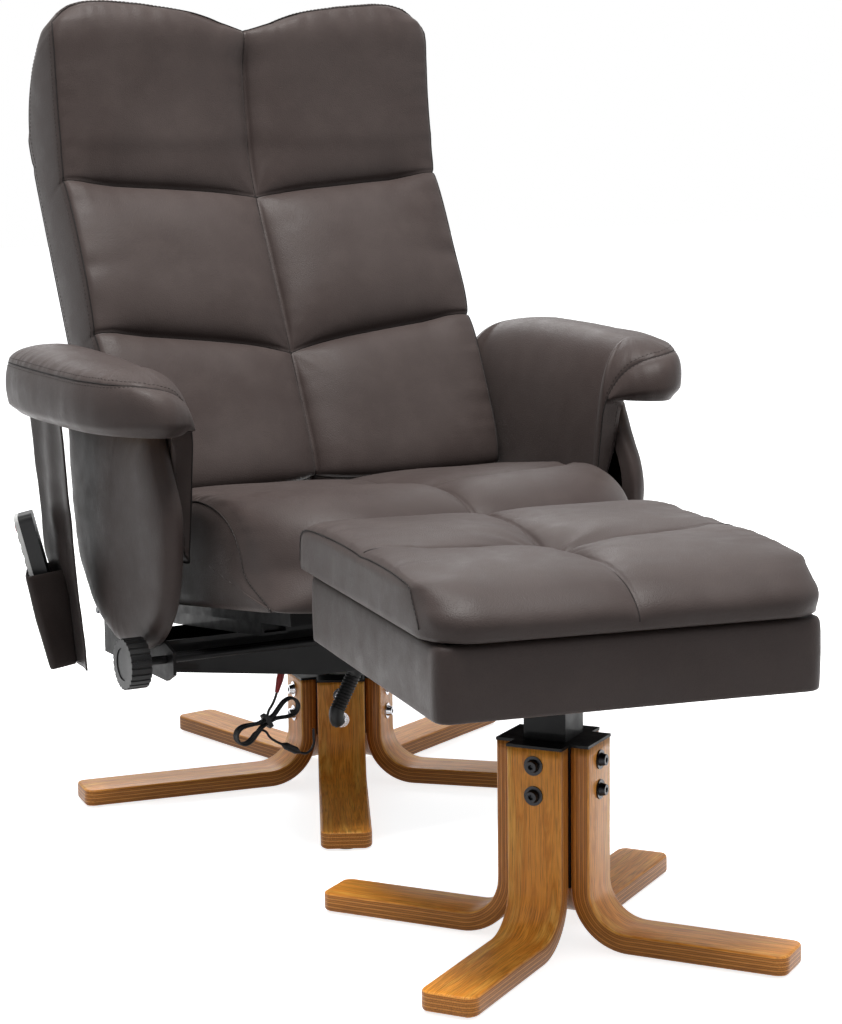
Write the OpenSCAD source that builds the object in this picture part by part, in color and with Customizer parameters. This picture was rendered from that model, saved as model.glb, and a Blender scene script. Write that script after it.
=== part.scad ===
// Reclining massage chair on a five-legged swivel base, with a matching footstool that opens for storage.
// The origin is on the floor under the swivel axis. The chair faces -Y and +X is its left arm's side.

/* [Bentwood legs] */
// Width of every leg
leg_w = 60; // [50:1:62]
// Thickness of the bent plywood
leg_t = 20; // [16:1:24]
// Inside radius of the bend
bend_r = 42; // [30:1:50]
// Corner radius at the tip of a foot
tip_r = 13; // [6:1:20]
// Thickness of the floor glides
glide_t = 3; // [2:0.5:5]
// Radius of the floor glides
glide_r = 12; // [8:1:16]

/* [Chair base] */
// Distance from the swivel axis to the tip of a chair leg
chair_reach = 342; // [300:1:360]
// Height of the tops of the chair legs
chair_top = 137; // [125:1:150]
// Direction of the first chair leg in degrees
chair_turn = -115.6; // [-180:0.1:180]
// Radius of the swivel post
post_r = 19; // [16:0.5:22]

/* [Swivel frame] */
// Height of the frame's floor above the tops of the chair legs
swivel_rise = 31; // [28:1:40]
// Distance between the two side boards
frame_w = 604; // [590:1:620]
// Distance of the trough's front wall ahead of the swivel axis
trough_front = 128; // [118:1:132]
// Distance of the trough's rear wall behind the swivel axis
trough_rear = 44; // [40:1:60]
// Depth of the trough at the swivel axis
trough_d = 49; // [46:1:56]
// Rise of the trough's floor towards its ends
trough_lift = 28; // [10:1:32]
// Thickness of the sheet steel
sheet_t = 4; // [3:0.5:5]
// Distance of the tension rod ahead of the swivel axis
rod_ahead = 153; // [148:1:160]
// Height of the tension rod above the trough's floor
rod_rise = 48; // [44:1:54]
// Radius of the tension rod
rod_r = 5; // [4:0.5:6]
// Distance from an inner arm panel to the middle of a slide rail
rail_inset = 96; // [91:1:111]
// Width of a slide rail
rail_w = 34; // [30:1:38]
// Height of a slide rail
rail_h = 18; // [16:1:20]

/* [Recline] */
// Lean of the back from upright in degrees
back_lean = 26; // [22:0.5:30]
// Upward tilt of the seat towards its front in degrees
seat_tilt = 6.7; // [4:0.1:8]
// Distance of the back's pivot behind the swivel axis, along the rails
pivot_back = 53; // [48:1:58]
// Height of the back's pivot above the rails' floor
pivot_up = 190; // [186:1:196]
// Distance from the back's pivot to its drive pins
drive_r = 70; // [66:1:76]
// Angle through which the back reclines in degrees
recline_max = 30; // [20:1:32]

/* [Arms and sides] */
// Height of the arm pads' undersides
arm_z = 487; // [480:1:500]
// Thickness of the padded inner arm panels
inner_t = 26; // [20:1:29]
// Width of an arm pad
arm_w = 126; // [110:1:136]
// Distance of the arms' front ends ahead of the swivel axis
arm_front = 278; // [260:1:290]
// Distance of the arms' rear ends behind the swivel axis
arm_rear = 180; // [160:1:200]
// Thickness of an arm pad
arm_t = 81; // [70:1:90]
// Thickness of the plywood arm boards
arm_board_t = 15; // [12:1:18]
// Thickness of a padded side panel
side_t = 28; // [24:1:32]
// Thickness of the plywood side boards
board_t = 14; // [12:1:16]
// Distance of the side panels' front edges ahead of the swivel axis
side_front = 217; // [210:1:225]
// Distance of the side panels' rear edges behind the swivel axis
side_rear = 90; // [86:1:100]
// Height of the side panels' lowest point
side_low = 222; // [218:1:230]

/* [Seat] */
// Gap between the seat cushion and an inner arm panel
seat_gap = 14; // [11:1:24]
// Length of the seat cushion's underside ahead of the swivel axis
seat_front = 398; // [380:1:402]
// Thickness of the seat cushion
seat_t = 136; // [120:1:150]
// Radius of the seat's front corners seen from above
seat_corner = 125; // [110:1:128]

/* [Back] */
// Gap between the back and an inner arm panel
back_gap = 8; // [6:1:24]
// Height of the back above its lower edge, along its lean
back_h = 642; // [600:1:680]
// Thickness of the back
back_t = 118; // [110:1:126]
// Thickness of the foam in front of the back's frame
back_foam = 34; // [30:1:38]
// Depth of the stitched seams between the pillows
groove_d = 17; // [10:1:20]
// Half of a stitched seam's width
groove_half = 32; // [24:1:36]

/* [Tension knobs] */
// Radius of a tension knob
knob_r = 30; // [24:1:34]
// Thickness of a tension knob
knob_t = 25; // [20:1:30]

/* [Remote and pouch] */
// Width of the pouch
pouch_w = 80; // [74:1:88]
// Length of the pouch below the arm
pouch_len = 304; // [280:1:320]
// Depth of the pocket's mouth below the arm
mouth_drop = 186; // [170:1:200]
// Depth of the pocket at its mouth
mouth_d = 36; // [35:0.5:40]
// Depth of the pocket at its foot
foot_d = 17; // [15:0.5:18]
// Width of the remote control
remote_w = 44; // [38:1:46]
// Length of the remote control
remote_len = 152; // [140:1:156]
// Thickness of the remote control
remote_t = 22; // [20:0.5:23]
// Travel of a button
button_travel = 1.2; // [0.8:0.1:1.6]

/* [Footstool] */
// Distance from the footstool's middle to the tip of a leg
stool_reach = 258; // [240:1:280]
// Height of the tops of the footstool's legs
stool_top = 211; // [200:1:225]
// Sideways place of the footstool's middle
stool_x = -100; // [-120:1:0]
// Distance of the footstool's middle ahead of the swivel axis
stool_ahead = 689; // [689:1:760]
// Turn of the footstool in degrees
stool_turn = -9.7; // [-12:0.1:0]
// Width of the storage box
box_w = 393; // [370:1:410]
// Depth of the storage box from front to rear
box_d = 419; // [390:1:420]
// Height of the storage box's underside
box_z = 288; // [280:1:300]
// Height of the storage box
box_h = 72; // [64:1:90]
// Thickness of the box's upholstered walls
box_wall = 18; // [14:1:24]
// Side of the square post
stool_post = 46; // [40:1:50]
// Thickness of the footstool's cushion
stool_pad_t = 55; // [45:1:65]
// Overhang of the cushion past the box
pad_over = 10; // [6:1:10]
// Corner radius of the box and its cushion
box_corner = 16; // [10:1:22]

/* [Hidden] */
$fn = 48;
// Extra length by which every cut runs past its face
over = 1;
// Clearance between pieces that move past each other
gap = 0.4;
// Clearance of a shaft in its hole
running = 0.05;
// Clearance between a cushion and what it rests on
snug = 0.3;

// Widths that follow from the distance between the side boards
arm_in = frame_w / 2 - inner_t;
rail_gap = 2 * (arm_in - rail_inset);
seat_w = 2 * (arm_in - seat_gap);
back_w = 2 * (arm_in - back_gap);
seat_frame_inset = 34;
seat_frame_half = seat_w / 2 - seat_frame_inset;
link_inset = 57;
link_x = arm_in - link_inset;
ear_step = 11;
ear_x = link_x - ear_step;
upright_step = 4;
upright_x = link_x - upright_step;
pouch_inset = 27;
pouch_x = arm_in + arm_w - pouch_inset;

// Hubs and their bolts
chair_count = 5;
stool_count = 4;
cap_t = 3;
hub_wall = 4;
hub_play = 0.7;
bolt_r = 4;
bolt_play = 0.2;
bolt_end = 10;
stool_bolt_end = 3;
stool_start = 45;
washer_r = 10;
washer_t = 1.6;
head_r = 7;
head_h = 6;
socket_r = 3;
socket_d = 3.5;
bolt_drop = 17;
bolt_step = 31;
glide_inset = 22;
heel_glide = 150;
chair_hub_r = leg_w / 2 / tan(180 / chair_count) + hub_play;
stool_hub_r = leg_w / 2 + hub_play;
hub_low = glide_t + leg_t + bend_r;

// Swivel
bearing_t = 2.7;
socket_wall = 10;
socket_top = 18;
ring_t = 3;
ring_w = 6;
frame_z = chair_top + swivel_rise;
rail_z = frame_z + trough_d;
flat_half = 90;
flange_low = 22;
flange_high = 46;
flange_nose = 22;
screw_r = 4;
screw_head_r = 7;
screw_head_h = 5;
screw_back_share = 0.7;
screw_rise = 28;
brace_r = 4;
brace_behind = 14;

// Rails and runners
rail_front = 196;
rail_back = 74;
rail_wall = 3;
rail_slot = 14;
runner_h = 9;
runner_short = 10;

// Drive pins, links and ears
half_recline = recline_max / 2;
drive_a = half_recline + back_lean - seat_tilt;
pin_r = 5;
pivot_r = 6;
bush_r = 9;
bush_t = 18;
lug_r = 20;
link_t = 5;
link_r = 16;
eye_r = 12;
web_share = 0.8;
ear_t = 6;
ear_half = 15;
slot_spare = 3;

// Seat frame and springs
tube_w = 24;
tube_h = 28;
seat_frame_z = 22;
seat_frame_front = 345;
seat_frame_rear = 100;
seat_bar_rear = 30;
cushion_low = 34;
pocket_play = 2;
wire_r = 1.8;
seat_spring_count = 5;
seat_spring_step = 78;
seat_loop_r = 16;
back_loop_r = 14;
back_spring_count = 4;
back_spring_step = 74;
pad_half = 118;
pad_t = 2;
motor_r = 28;
motor_h = 20;
motor_body_share = 0.7;
motor_dome_share = 0.6;
motor_foot_share = 0.2;
seat_motor_shares = [0.62, 0.22];
foot_r = 4;

// Back profiles, as shares of the back's height and thickness
back_low = 38;
head_share = 0.667;
front_shares = [[0, 0.08], [0.02, 0.02], [0.06, 0], [head_share, 0], [0.75, -0.1], [0.82, -0.24],
    [0.89, -0.39], [0.95, -0.54], [0.98, -0.56]];
rear_shares = [[1, -0.5], [1.0, -0.36], [0.985, -0.1], [0.96, 0.24], [0.91, 0.64], [0.84, 0.9], [0.75, 1],
    [0.03, 1], [0, 0.95]];
split_shares = [[0, 0.52], [0.667, 0.52], [0.75, 0.46], [0.86, 0.22], [0.95, -0.08], [1.03, -0.34]];
outline_shares = [[0.972, 0], [0.99, 0.1], [1, 0.3], [1, 0.45], [0.992, 0.65], [0.985, 0.85], [0.975, 0.93],
    [0.93, 0.975], [0.86, 0.998], [0.78, 1], [0.6, 0.99], [0.3, 0.965], [0, 0.955]];
frame_y = 36;
upright_r = 10;
upright_low = 20;
upright_drop = 247;
upright_h = back_h - upright_drop;
head_turn = 18;
head_bend_r = 90;
head_len = 62;
head_corner_r = 38;
cross_r = 8;
cross_low = 60;
cross_drop = 25;
cross_high = upright_h - cross_drop;
cross_mid_share = 0.565;
cross_mid = cross_low + cross_mid_share * (cross_high - cross_low);
cavity_half = upright_x + upright_r + snug;
cavity_front = 0.29;
cavity_shares = [[-0.05, cavity_front], [head_share, cavity_front], [0.75, 0.2], [0.9, 0.1], [0.9, 0.45],
    [0.8, 0.62], [0.7, 0.86], [-0.05, 0.91]];

// Arm and side outlines, as shares of their lengths and heights
arm_top_shares = [[0.03, 0], [0, 0.12], [0, 0.36], [0.03, 0.56], [0.1, 0.74], [0.22, 0.87], [0.4, 0.97],
    [0.6, 1], [0.8, 0.98], [0.93, 0.9], [0.99, 0.74], [1, 0.5], [1, 0.14], [0.97, 0]];
leaf_shares = [[0.22, 1.1], [0.22, 1], [0.08, 0.84], [0, 0.67], [0, 0.48], [0.04, 0.29], [0.13, 0.14],
    [0.25, 0.04], [0.4, 0], [0.56, 0.01], [0.73, 0.09], [0.87, 0.24], [0.96, 0.41], [1, 0.7], [1, 1],
    [1, 1.1]];
board_share = 0.86;
arm_corner_shares = [0.27, 0.5, 0.36, 0.22];
arm_edge_shares = [0.08, 0.16, 0.32, 0.32];
strip_front_share = 0.36;
strip_rear_share = 0.9;
inner_low_share = 0.49;
inner_shares = [[0, 1], [0.02, 0.8], [0.1, 0.42], [0.19, 0.05], [0.24, 0], [0.9, 0.03], [1, 0.2], [1, 1]];
inner_front = 228;
inner_rear = 140;
board_inset = 14;

// Seat outline, as shares of its length and thickness
seat_shares = [[0, 0.05], [0, 0.02], [0.06, 0], [0.965, 0], [0.974, 0.04], [0.885, 0.88], [0.865, 0.95],
    [0.8, 0.985], [0.5, 1], [0.3, 0.985], [0.18, 0.93], [0.09, 0.82], [0.03, 0.64], [0, 0.4]];
seat_rear = 58;
seat_side_r = 26;
seat_edge_shares = [0.33, 0.33, 1, 1];

// Stitched seams: how far each rises on the back at the side and in the middle, and the seat's cross seam
back_seam_shares = [[0.346, 0.288], [0.673, 0.636]];
seat_cross_share = 0.615;
seat_seam_shares = [[0, 0.05], [0, 0.42], [0.09, 0.84], [0.3, 1.01], [0.9, 1.01]];
front_first = 2;
groove_rise = 20;
groove_end = 5;
middle_more = 3;

// Knobs
knob_flutes = 24;
flute_r = 1.6;
rod_bite = 10;
knob_gap = 1;
dish_r = 19;
dish_d = 1.2;

// Remote pouch
pouch_y = 38;
pouch_turn = 22;
pouch_tilt = 4;
cloth_t = 3;
strap_front = 24;
remote_shift = 12;
wedge = atan((mouth_d - foot_d) / (pouch_len - mouth_drop - cloth_t));
remote_low = cloth_t - pouch_len + (gap + (remote_t + gap) / cos(wedge) - foot_d) / tan(wedge);
face_t = 5;
button_r = 5.5;
button_h = 3;
button_step = 15;
button_first = 15;
button_count = 4;
remote_corner_shares = [0.25, 0.25, 0.2, 0.2];
button_stem_r = 3.5;

// Massage lead, its boot, hank, connector and conduit
lead_r = 1.6;
lead_sides = 8;
lead_y = -100;
boot_top = [-128, lead_y, 174.5];
boot_tip = [-136, lead_y, 146];
boot_r = 4.5;
boot_shares = [[0, 0], [1, 0], [1, 0.45], [0.55, 1], [0, 1]];
hank_at = [-150, lead_y, 112];
hank_len = 96;
hank_w = 26;
hank_t = 13;
hank_tilt = 25;
tie_w = 6;
tie_t = 1.2;
connector_left = [-130, lead_y, 80];
connector_right = [-107, lead_y, 67];
connector_r = 4.5;
connector_shares = [[0, 0], [0.45, 0], [1, 0.2], [1, 0.8], [0.45, 1], [0, 1]];
conduit_y = -110;
conduit_top_x = -33;
conduit_lean = 29;
conduit_len = 52;
conduit_r = 9.5;
conduit_root_r = 8.2;
conduit_rings = 13;
rib_shares = [[0, 0], [0.25, 1], [0.65, 1], [0.9, 0]];
collar_r = 11;
collar_h = 9;
elbow_r = 16;
elbow_turn = 61;
mouth_r = 7.5;
route_down = [[-136, -100, 146], [-138, -100, 140], [-142, -100, 132], [-147, -100, 125], [-151, -100, 118]];
route_mid = [[-149, -100, 106], [-149, -100, 98], [-146, -100, 91], [-139, -100, 85], [-130, -100, 80]];
route_up = [[-107, -100, 67], [-99, -102, 65], [-93, -105, 70], [-91, -108, 79], [-92, -110, 88],
    [-92, -110, 97]];

// Control box
control_size = [54, 100, 28];
control_x = 61;
control_y = -60;
port_x = 13;
port_z = 9;
port_size = [9, 12, 9];

// Footstool
plate_side = 170;
plate_t = 4;
box_floor = 12;
lid_gap = 2.5;
lid_t = 12;
lid_inset = 12;
leaf_t = 1.6;
leaf_len = 60;
leaf_drop = 26;
leaf_reach = 30;
knuckle_r = 3;
hinge_pin_r = 1.4;
hinge_spread = 120;
screw_place = 62;
plate_screw_r = 4;
pad_edge_shares = [0.083, 0.083, 0.33, 0.33];
hinge_x = box_w / 2 + knuckle_r + gap;
hinge_z = box_z + box_h + lid_gap - knuckle_r - gap;

// Steps of the curves
arc_steps = 8;
smooth_steps = 4;
route_steps = 3;

function arc(c, r, from, to) = [for (i = [0 : arc_steps])
    let (a = from + (to - from) * i / arc_steps) c + r * [cos(a), sin(a)]];

// Rectangle from [x0, y0] to [x1, y1] with one radius per corner, counter-clockwise from the low corner
function round_box(x0, x1, y0, y1, r) = concat(
    arc([x0 + r[0], y0 + r[0]], r[0], 180, 270),
    arc([x1 - r[1], y0 + r[1]], r[1], 270, 360),
    arc([x1 - r[2], y1 - r[2]], r[2], 0, 90),
    arc([x0 + r[3], y1 - r[3]], r[3], 90, 180));

function spline(a, b, c, d, t) =
    (2 * b + (c - a) * t + (2 * a - 5 * b + 4 * c - d) * t * t + (3 * b - a - 3 * c + d) * t * t * t) / 2;

// Closed smooth curve through the points
function smooth_loop(p) = [for (i = [0 : len(p) - 1], j = [0 : smooth_steps - 1])
    spline(p[(i - 1 + len(p)) % len(p)], p[i], p[(i + 1) % len(p)], p[(i + 2) % len(p)], j / smooth_steps)];

// Places of shares between a start and an end
function placed(shares, start, size) =
    [for (s = shares) [start[0] + s[0] * size[0], start[1] + s[1] * size[1]]];
function flipped(shares) = [for (s = shares) [s[1], s[0]]];

module along_x(x0, x1) {
    translate([x0, 0, 0]) rotate([90, 0, 90]) linear_extrude(x1 - x0) children();
}

module along_y(y0, y1) {
    translate([0, y1, 0]) rotate([90, 0, 0]) linear_extrude(y1 - y0) children();
}

module both_sides() {
    children();
    mirror([1, 0, 0]) children();
}

module ring_of(count, start) {
    for (i = [0 : count - 1]) rotate([0, 0, start + i * 360 / count]) children();
}

// Outline of a cap plate: one square-ended arm over each leg, with a notch between each two
function star(reach, half, count) = [for (i = [0 : count - 1], k = [0 : 2])
    let (a = 360 * i / count, n = a + 180 / count, s = k == 0 ? -half : half)
    k == 2 ? half / sin(180 / count) * [cos(n), sin(n)]
        : [reach * cos(a) - s * sin(a), reach * sin(a) + s * cos(a)]];

// Bar with round ends of two radii between two points
module bar_2d(p, q, rp, rq) {
    d = norm(q - p);
    b = atan2(q[1] - p[1], q[0] - p[0]);
    a = acos((rp - rq) / d);
    translate(p) circle(rp);
    translate(q) circle(rq);
    polygon([p + rp * [cos(b + a), sin(b + a)], p + rp * [cos(b - a), sin(b - a)],
        q + rq * [cos(b - a), sin(b - a)], q + rq * [cos(b + a), sin(b + a)]]);
}

// Web between two eyes of two radii, narrower than either
module web_2d(p, q, rp, rq) {
    across = web_share * [p[1] - q[1], q[0] - p[0]] / norm(q - p);
    polygon([p - rp * across, q - rq * across, q + rq * across, p + rp * across]);
}

// V-shaped stitched seam along X in a face that looks towards -Y
module groove(start, end, depth) {
    mouth = groove_half * (depth + groove_rise) / depth;
    along_x(start, end) polygon([[depth, 0], [-groove_rise, mouth], [-groove_rise, -mouth]]);
}

// Stitched seam in the plane X = 0 over the points [y, z] of a side outline, from the lowest in front
module groove_over(p) {
    for (i = [0 : len(p) - 2])
        translate([0, p[i][0], p[i][1]]) rotate([atan2(p[i][0] - p[i + 1][0], p[i + 1][1] - p[i][1]), 0, 0])
            rotate([0, -90, 0])
                groove(-groove_end, norm(p[i + 1] - p[i]) + groove_end, groove_d + middle_more);
}

// The rails' sloping floor, rising towards the front
module on_slope() {
    translate([0, 0, rail_z]) rotate([-seat_tilt, 0, 0]) children();
}

// The back's own frame: its origin on the pivot, its Z up the back
module at_back() {
    on_slope() translate([0, pivot_back, pivot_up]) rotate([seat_tilt - back_lean, 0, 0]) children();
}

module at_stool() {
    translate([stool_x, -stool_ahead, 0]) rotate([0, 0, stool_turn]) children();
}

// Legs and hubs

module foot_plate(length) {
    translate([0, -leg_w / 2, 0]) cube([length - tip_r, leg_w, leg_t]);
    translate([0, tip_r - leg_w / 2, 0]) cube([length, leg_w - 2 * tip_r, leg_t]);
    for (s = [-1, 1]) translate([length - tip_r, s * (leg_w / 2 - tip_r), 0]) cylinder(r = tip_r, h = leg_t);
}

module bent_leg(hub_r, reach, top) {
    bend_x = hub_r + leg_t + bend_r;
    color("#b9793f") difference() {
        union() {
            translate([hub_r, -leg_w / 2, hub_low]) cube([leg_t, leg_w, top - hub_low]);
            translate([bend_x, leg_w / 2, hub_low]) rotate([90, 0, 0]) rotate([0, 0, 180])
                rotate_extrude(angle = 90) translate([bend_r, 0]) square([leg_t, leg_w]);
            translate([bend_x, 0, glide_t]) foot_plate(reach - bend_x);
        }
        for (k = [0, 1]) translate([hub_r - over, 0, top - bolt_drop - k * bolt_step]) rotate([0, 90, 0])
            cylinder(r = bolt_r + bolt_play, h = leg_t + 2 * over);
    }
}

module leg_bolt(hub_r, tail) {
    face = hub_r + leg_t;
    rotate([0, 90, 0]) {
        translate([0, 0, hub_r - hub_wall - tail])
            cylinder(r = bolt_r, h = leg_t + hub_wall + tail + washer_t);
        translate([0, 0, face]) cylinder(r = washer_r, h = washer_t);
        translate([0, 0, face + washer_t]) difference() {
            cylinder(r1 = head_r, r2 = head_r - socket_r / 2, h = head_h);
            translate([0, 0, head_h - socket_d]) cylinder(r = socket_r, h = socket_d + over, $fn = 6);
        }
    }
}

module leg_bolts(hub_r, top, count, tail) {
    ring_of(count, 0) for (k = [0, 1])
        translate([0, 0, top - bolt_drop - k * bolt_step]) leg_bolt(hub_r, tail);
}

module hub(hub_r, top, count, start, bore_r) {
    corner_r = hub_r / cos(180 / count);
    inner_r = (hub_r - hub_wall) / cos(180 / count);
    rotate([0, 0, start]) difference() {
        union() {
            translate([0, 0, hub_low]) rotate([0, 0, 180 / count])
                cylinder(r = corner_r, h = top + cap_t / 2 - hub_low, $fn = count);
            translate([0, 0, top]) linear_extrude(cap_t) polygon(star(hub_r + leg_t, leg_w / 2, count));
        }
        translate([0, 0, hub_low + hub_wall]) rotate([0, 0, 180 / count])
            cylinder(r = inner_r, h = top - hub_low - 2 * hub_wall, $fn = count);
        translate([0, 0, hub_low - over]) cylinder(r = bore_r, h = top + cap_t - hub_low + 2 * over);
        ring_of(count, 0) for (k = [0, 1])
            translate([hub_r - hub_wall - over, 0, top - bolt_drop - k * bolt_step]) rotate([0, 90, 0])
                cylinder(r = bolt_r + bolt_play, h = hub_wall + 2 * over);
    }
}

module glides(reach, count, start) {
    color("#202020") ring_of(count, start) for (x = [reach - glide_inset, heel_glide])
        translate([x, 0, 0]) cylinder(r = glide_r, h = glide_t);
}

module chair_hub() {
    color("#1c1c1e") hub(chair_hub_r, chair_top, chair_count, chair_turn, post_r);
}

module chair_leg(i) {
    rotate([0, 0, chair_turn + i * 360 / chair_count]) bent_leg(chair_hub_r, chair_reach, chair_top);
}

module chair_leg_bolts() {
    color("#d8d8dc") rotate([0, 0, chair_turn]) leg_bolts(chair_hub_r, chair_top, chair_count, bolt_end);
}

module chair_glides() {
    glides(chair_reach, chair_count, chair_turn);
}

module swivel_post() {
    ring_z = frame_z + socket_top + gap;
    color("#2a2a2c") difference() {
        union() {
            translate([0, 0, hub_low]) cylinder(r = post_r, h = ring_z + ring_t - hub_low);
            translate([0, 0, ring_z]) cylinder(r = post_r + ring_w, h = ring_t);
        }
        translate([0, 0, hub_low - over])
            cylinder(r = post_r - sheet_t, h = ring_z + ring_t - hub_low + 2 * over);
    }
}

module swivel_bearing() {
    color("#e8e6df") translate([0, 0, chair_top + cap_t]) difference() {
        cylinder(r = post_r + socket_wall, h = bearing_t);
        translate([0, 0, -over]) cylinder(r = post_r + running, h = bearing_t + 2 * over);
    }
}

// Swivel frame

// Outline of the trough seen from the front, as deep as the rails need at its front wall
module trough_2d(lift, half, high) {
    low = frame_z + lift;
    polygon([[-half, low + trough_lift], [-flat_half, low], [flat_half, low], [half, low + trough_lift],
        [half, high], [-half, high]]);
}

// Space below the rails' floor
module below_rails() {
    on_slope() translate([-frame_w, -frame_w, -frame_w]) cube([2 * frame_w, 2 * frame_w, frame_w]);
}

// Outline of the flange that bolts to a side board, seen from the side
module flange_2d() {
    low = frame_z + flange_low;
    polygon([[-rod_ahead - flange_nose, low + flange_low / 2], [-rod_ahead, low], [trough_rear, low],
        [trough_rear, rail_z + flange_high], [-trough_front / 2, rail_z + flange_high],
        [-rod_ahead - flange_nose, rail_z + flange_low / 2]]);
}

module cross_frame() {
    half = frame_w / 2;
    high = rail_z + trough_d;
    socket_low = chair_top + cap_t + bearing_t + gap;
    color("#1a1a1c") difference() {
        union() {
            difference() {
                intersection() {
                    along_y(-trough_front, trough_rear) trough_2d(0, half, high);
                    below_rails();
                }
                along_y(sheet_t - trough_front, trough_rear - sheet_t)
                    trough_2d(sheet_t, half - sheet_t, high + over);
            }
            for (x = [-half, half - sheet_t]) along_x(x, x + sheet_t) flange_2d();
            translate([0, 0, socket_low])
                cylinder(r = post_r + socket_wall, h = frame_z + socket_top - socket_low);
        }
        translate([0, 0, socket_low - over])
            cylinder(r = post_r + running, h = frame_z + socket_top - socket_low + 2 * over);
        translate([-half - over, -rod_ahead, frame_z + rod_rise]) rotate([0, 90, 0])
            cylinder(r = rod_r + running, h = frame_w + 2 * over);
        translate([-half - over, brace_behind - rod_ahead, frame_z + rod_rise]) rotate([0, 90, 0])
            cylinder(r = brace_r, h = frame_w + 2 * over);
        for (y = [-trough_front * screw_back_share, trough_rear * screw_back_share])
            translate([-half - over, y, rail_z + screw_rise]) rotate([0, 90, 0])
                cylinder(r = screw_r, h = frame_w + 2 * over);
        translate([conduit_top_x, conduit_y, frame_z - over])
            cylinder(r = conduit_root_r, h = sheet_t + 2 * over);
    }
}

module frame_screws() {
    half = frame_w / 2;
    color("#9a9a9e") both_sides()
        for (y = [-trough_front * screw_back_share, trough_rear * screw_back_share])
            translate([half - sheet_t, y, rail_z + screw_rise]) rotate([0, 90, 0]) {
                cylinder(r = screw_r, h = sheet_t + board_t);
                translate([0, 0, -screw_head_h]) cylinder(r = screw_head_r, h = screw_head_h);
            }
}

module leaf_2d() {
    size = [side_front + side_rear, arm_z - side_low];
    polygon(smooth_loop(placed(leaf_shares, [-side_front, side_low], size)));
}

function pivot_place() = [0, pivot_back * cos(seat_tilt) + pivot_up * sin(seat_tilt),
    rail_z - pivot_back * sin(seat_tilt) + pivot_up * cos(seat_tilt)];

module board_2d() {
    length = side_front + side_rear;
    height = arm_z - side_low;
    centre = [length / 2 - side_front, side_low + height / 2];
    p = pivot_place();
    translate(centre) scale(board_share) translate(-centre)
        polygon(smooth_loop(placed(leaf_shares, [-side_front, side_low], [length, height])));
    translate([strip_front_share * length - side_front, centre[1]])
        square([(strip_rear_share - strip_front_share) * length, height / 2 + over]);
    translate([p[1], p[2]]) circle(lug_r);
    translate([p[1] - 2 * lug_r, p[2] - lug_r]) square([2 * lug_r, 2 * lug_r]);
}

module below_arm() {
    translate([-frame_w, -frame_w, 0]) cube([2 * frame_w, 2 * frame_w, arm_z]);
}

module side_board() {
    p = pivot_place();
    difference() {
        intersection() {
            along_x(frame_w / 2, frame_w / 2 + board_t) board_2d();
            below_arm();
        }
        translate([frame_w / 2 - over, p[1], p[2]]) rotate([0, 90, 0])
            cylinder(r = bush_r, h = board_t + 2 * over);
        for (y = [-trough_front * screw_back_share, trough_rear * screw_back_share])
            translate([frame_w / 2 - over, y, rail_z + screw_rise]) rotate([0, 90, 0])
                cylinder(r = screw_r, h = board_t + 2 * over);
    }
}

module side_boards() {
    color("#c9a26b") both_sides() side_board();
}

module side_panel() {
    color("#4a403d") difference() {
        intersection() {
            along_x(frame_w / 2, frame_w / 2 + side_t) leaf_2d();
            below_arm();
        }
        along_x(frame_w / 2 - over, frame_w / 2 + board_t) board_2d();
    }
}

module arm_outline(inset) {
    polygon(round_box(arm_in + inset, arm_in + arm_w - inset, inset - arm_front, arm_rear - inset,
        arm_w * arm_corner_shares));
}

module arm_board() {
    translate([0, 0, arm_z]) linear_extrude(arm_board_t) arm_outline(board_inset);
}

module arm_boards() {
    color("#c9a26b") both_sides() arm_board();
}

module arm_pad() {
    size = [arm_front + arm_rear, arm_t];
    color("#4a403d") difference() {
        intersection() {
            translate([0, 0, arm_z]) linear_extrude(arm_t) arm_outline(0);
            along_x(arm_in, arm_in + arm_w) polygon(placed(arm_top_shares, [-arm_front, arm_z], size));
            along_y(-arm_front, arm_rear)
                polygon(round_box(arm_in, arm_in + arm_w, arm_z, arm_z + arm_t, arm_t * arm_edge_shares));
        }
        translate([0, 0, arm_z - over]) linear_extrude(arm_board_t + over) arm_outline(board_inset);
    }
}

module arm_inner() {
    p = pivot_place();
    low = arm_z - (arm_z - side_low) * (1 - inner_low_share);
    color("#4a403d") difference() {
        along_x(arm_in, frame_w / 2)
            polygon(placed(inner_shares, [-inner_front, low], [inner_front + inner_rear, arm_z - low]));
        translate([arm_in - over, p[1], p[2]]) rotate([0, 90, 0])
            cylinder(r = bush_r, h = frame_w / 2 - arm_in + 2 * over);
    }
}

module pivot_bushes() {
    p = pivot_place();
    color("#e8e6df") both_sides() translate([frame_w / 2 + board_t - bush_t, p[1], p[2]]) rotate([0, 90, 0])
        difference() {
            cylinder(r = bush_r, h = bush_t);
            translate([0, 0, -over]) cylinder(r = pivot_r + running, h = bush_t + 2 * over);
        }
}

module slide_rails() {
    side = rail_gap / 2 - rail_w / 2;
    length = rail_front + rail_back;
    color("#8d8f93") on_slope() both_sides() difference() {
        translate([side, -rail_front, 0]) cube([rail_w, length, rail_h]);
        translate([side + rail_wall, -rail_front - over, rail_wall])
            cube([rail_w - 2 * rail_wall, length + 2 * over, rail_h - 2 * rail_wall]);
        translate([rail_gap / 2 - rail_slot / 2, -rail_front - over, rail_wall])
            cube([rail_slot, length + 2 * over, rail_h]);
    }
}

module tension_rod() {
    rod_half = frame_w / 2 + side_t + knob_gap + rod_bite;
    color("#3c3c40") {
        translate([-rod_half, -rod_ahead, frame_z + rod_rise]) rotate([0, 90, 0])
            cylinder(r = rod_r, h = 2 * rod_half);
        translate([-frame_w / 2, brace_behind - rod_ahead, frame_z + rod_rise]) rotate([0, 90, 0])
            cylinder(r = brace_r, h = frame_w);
    }
}

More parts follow.
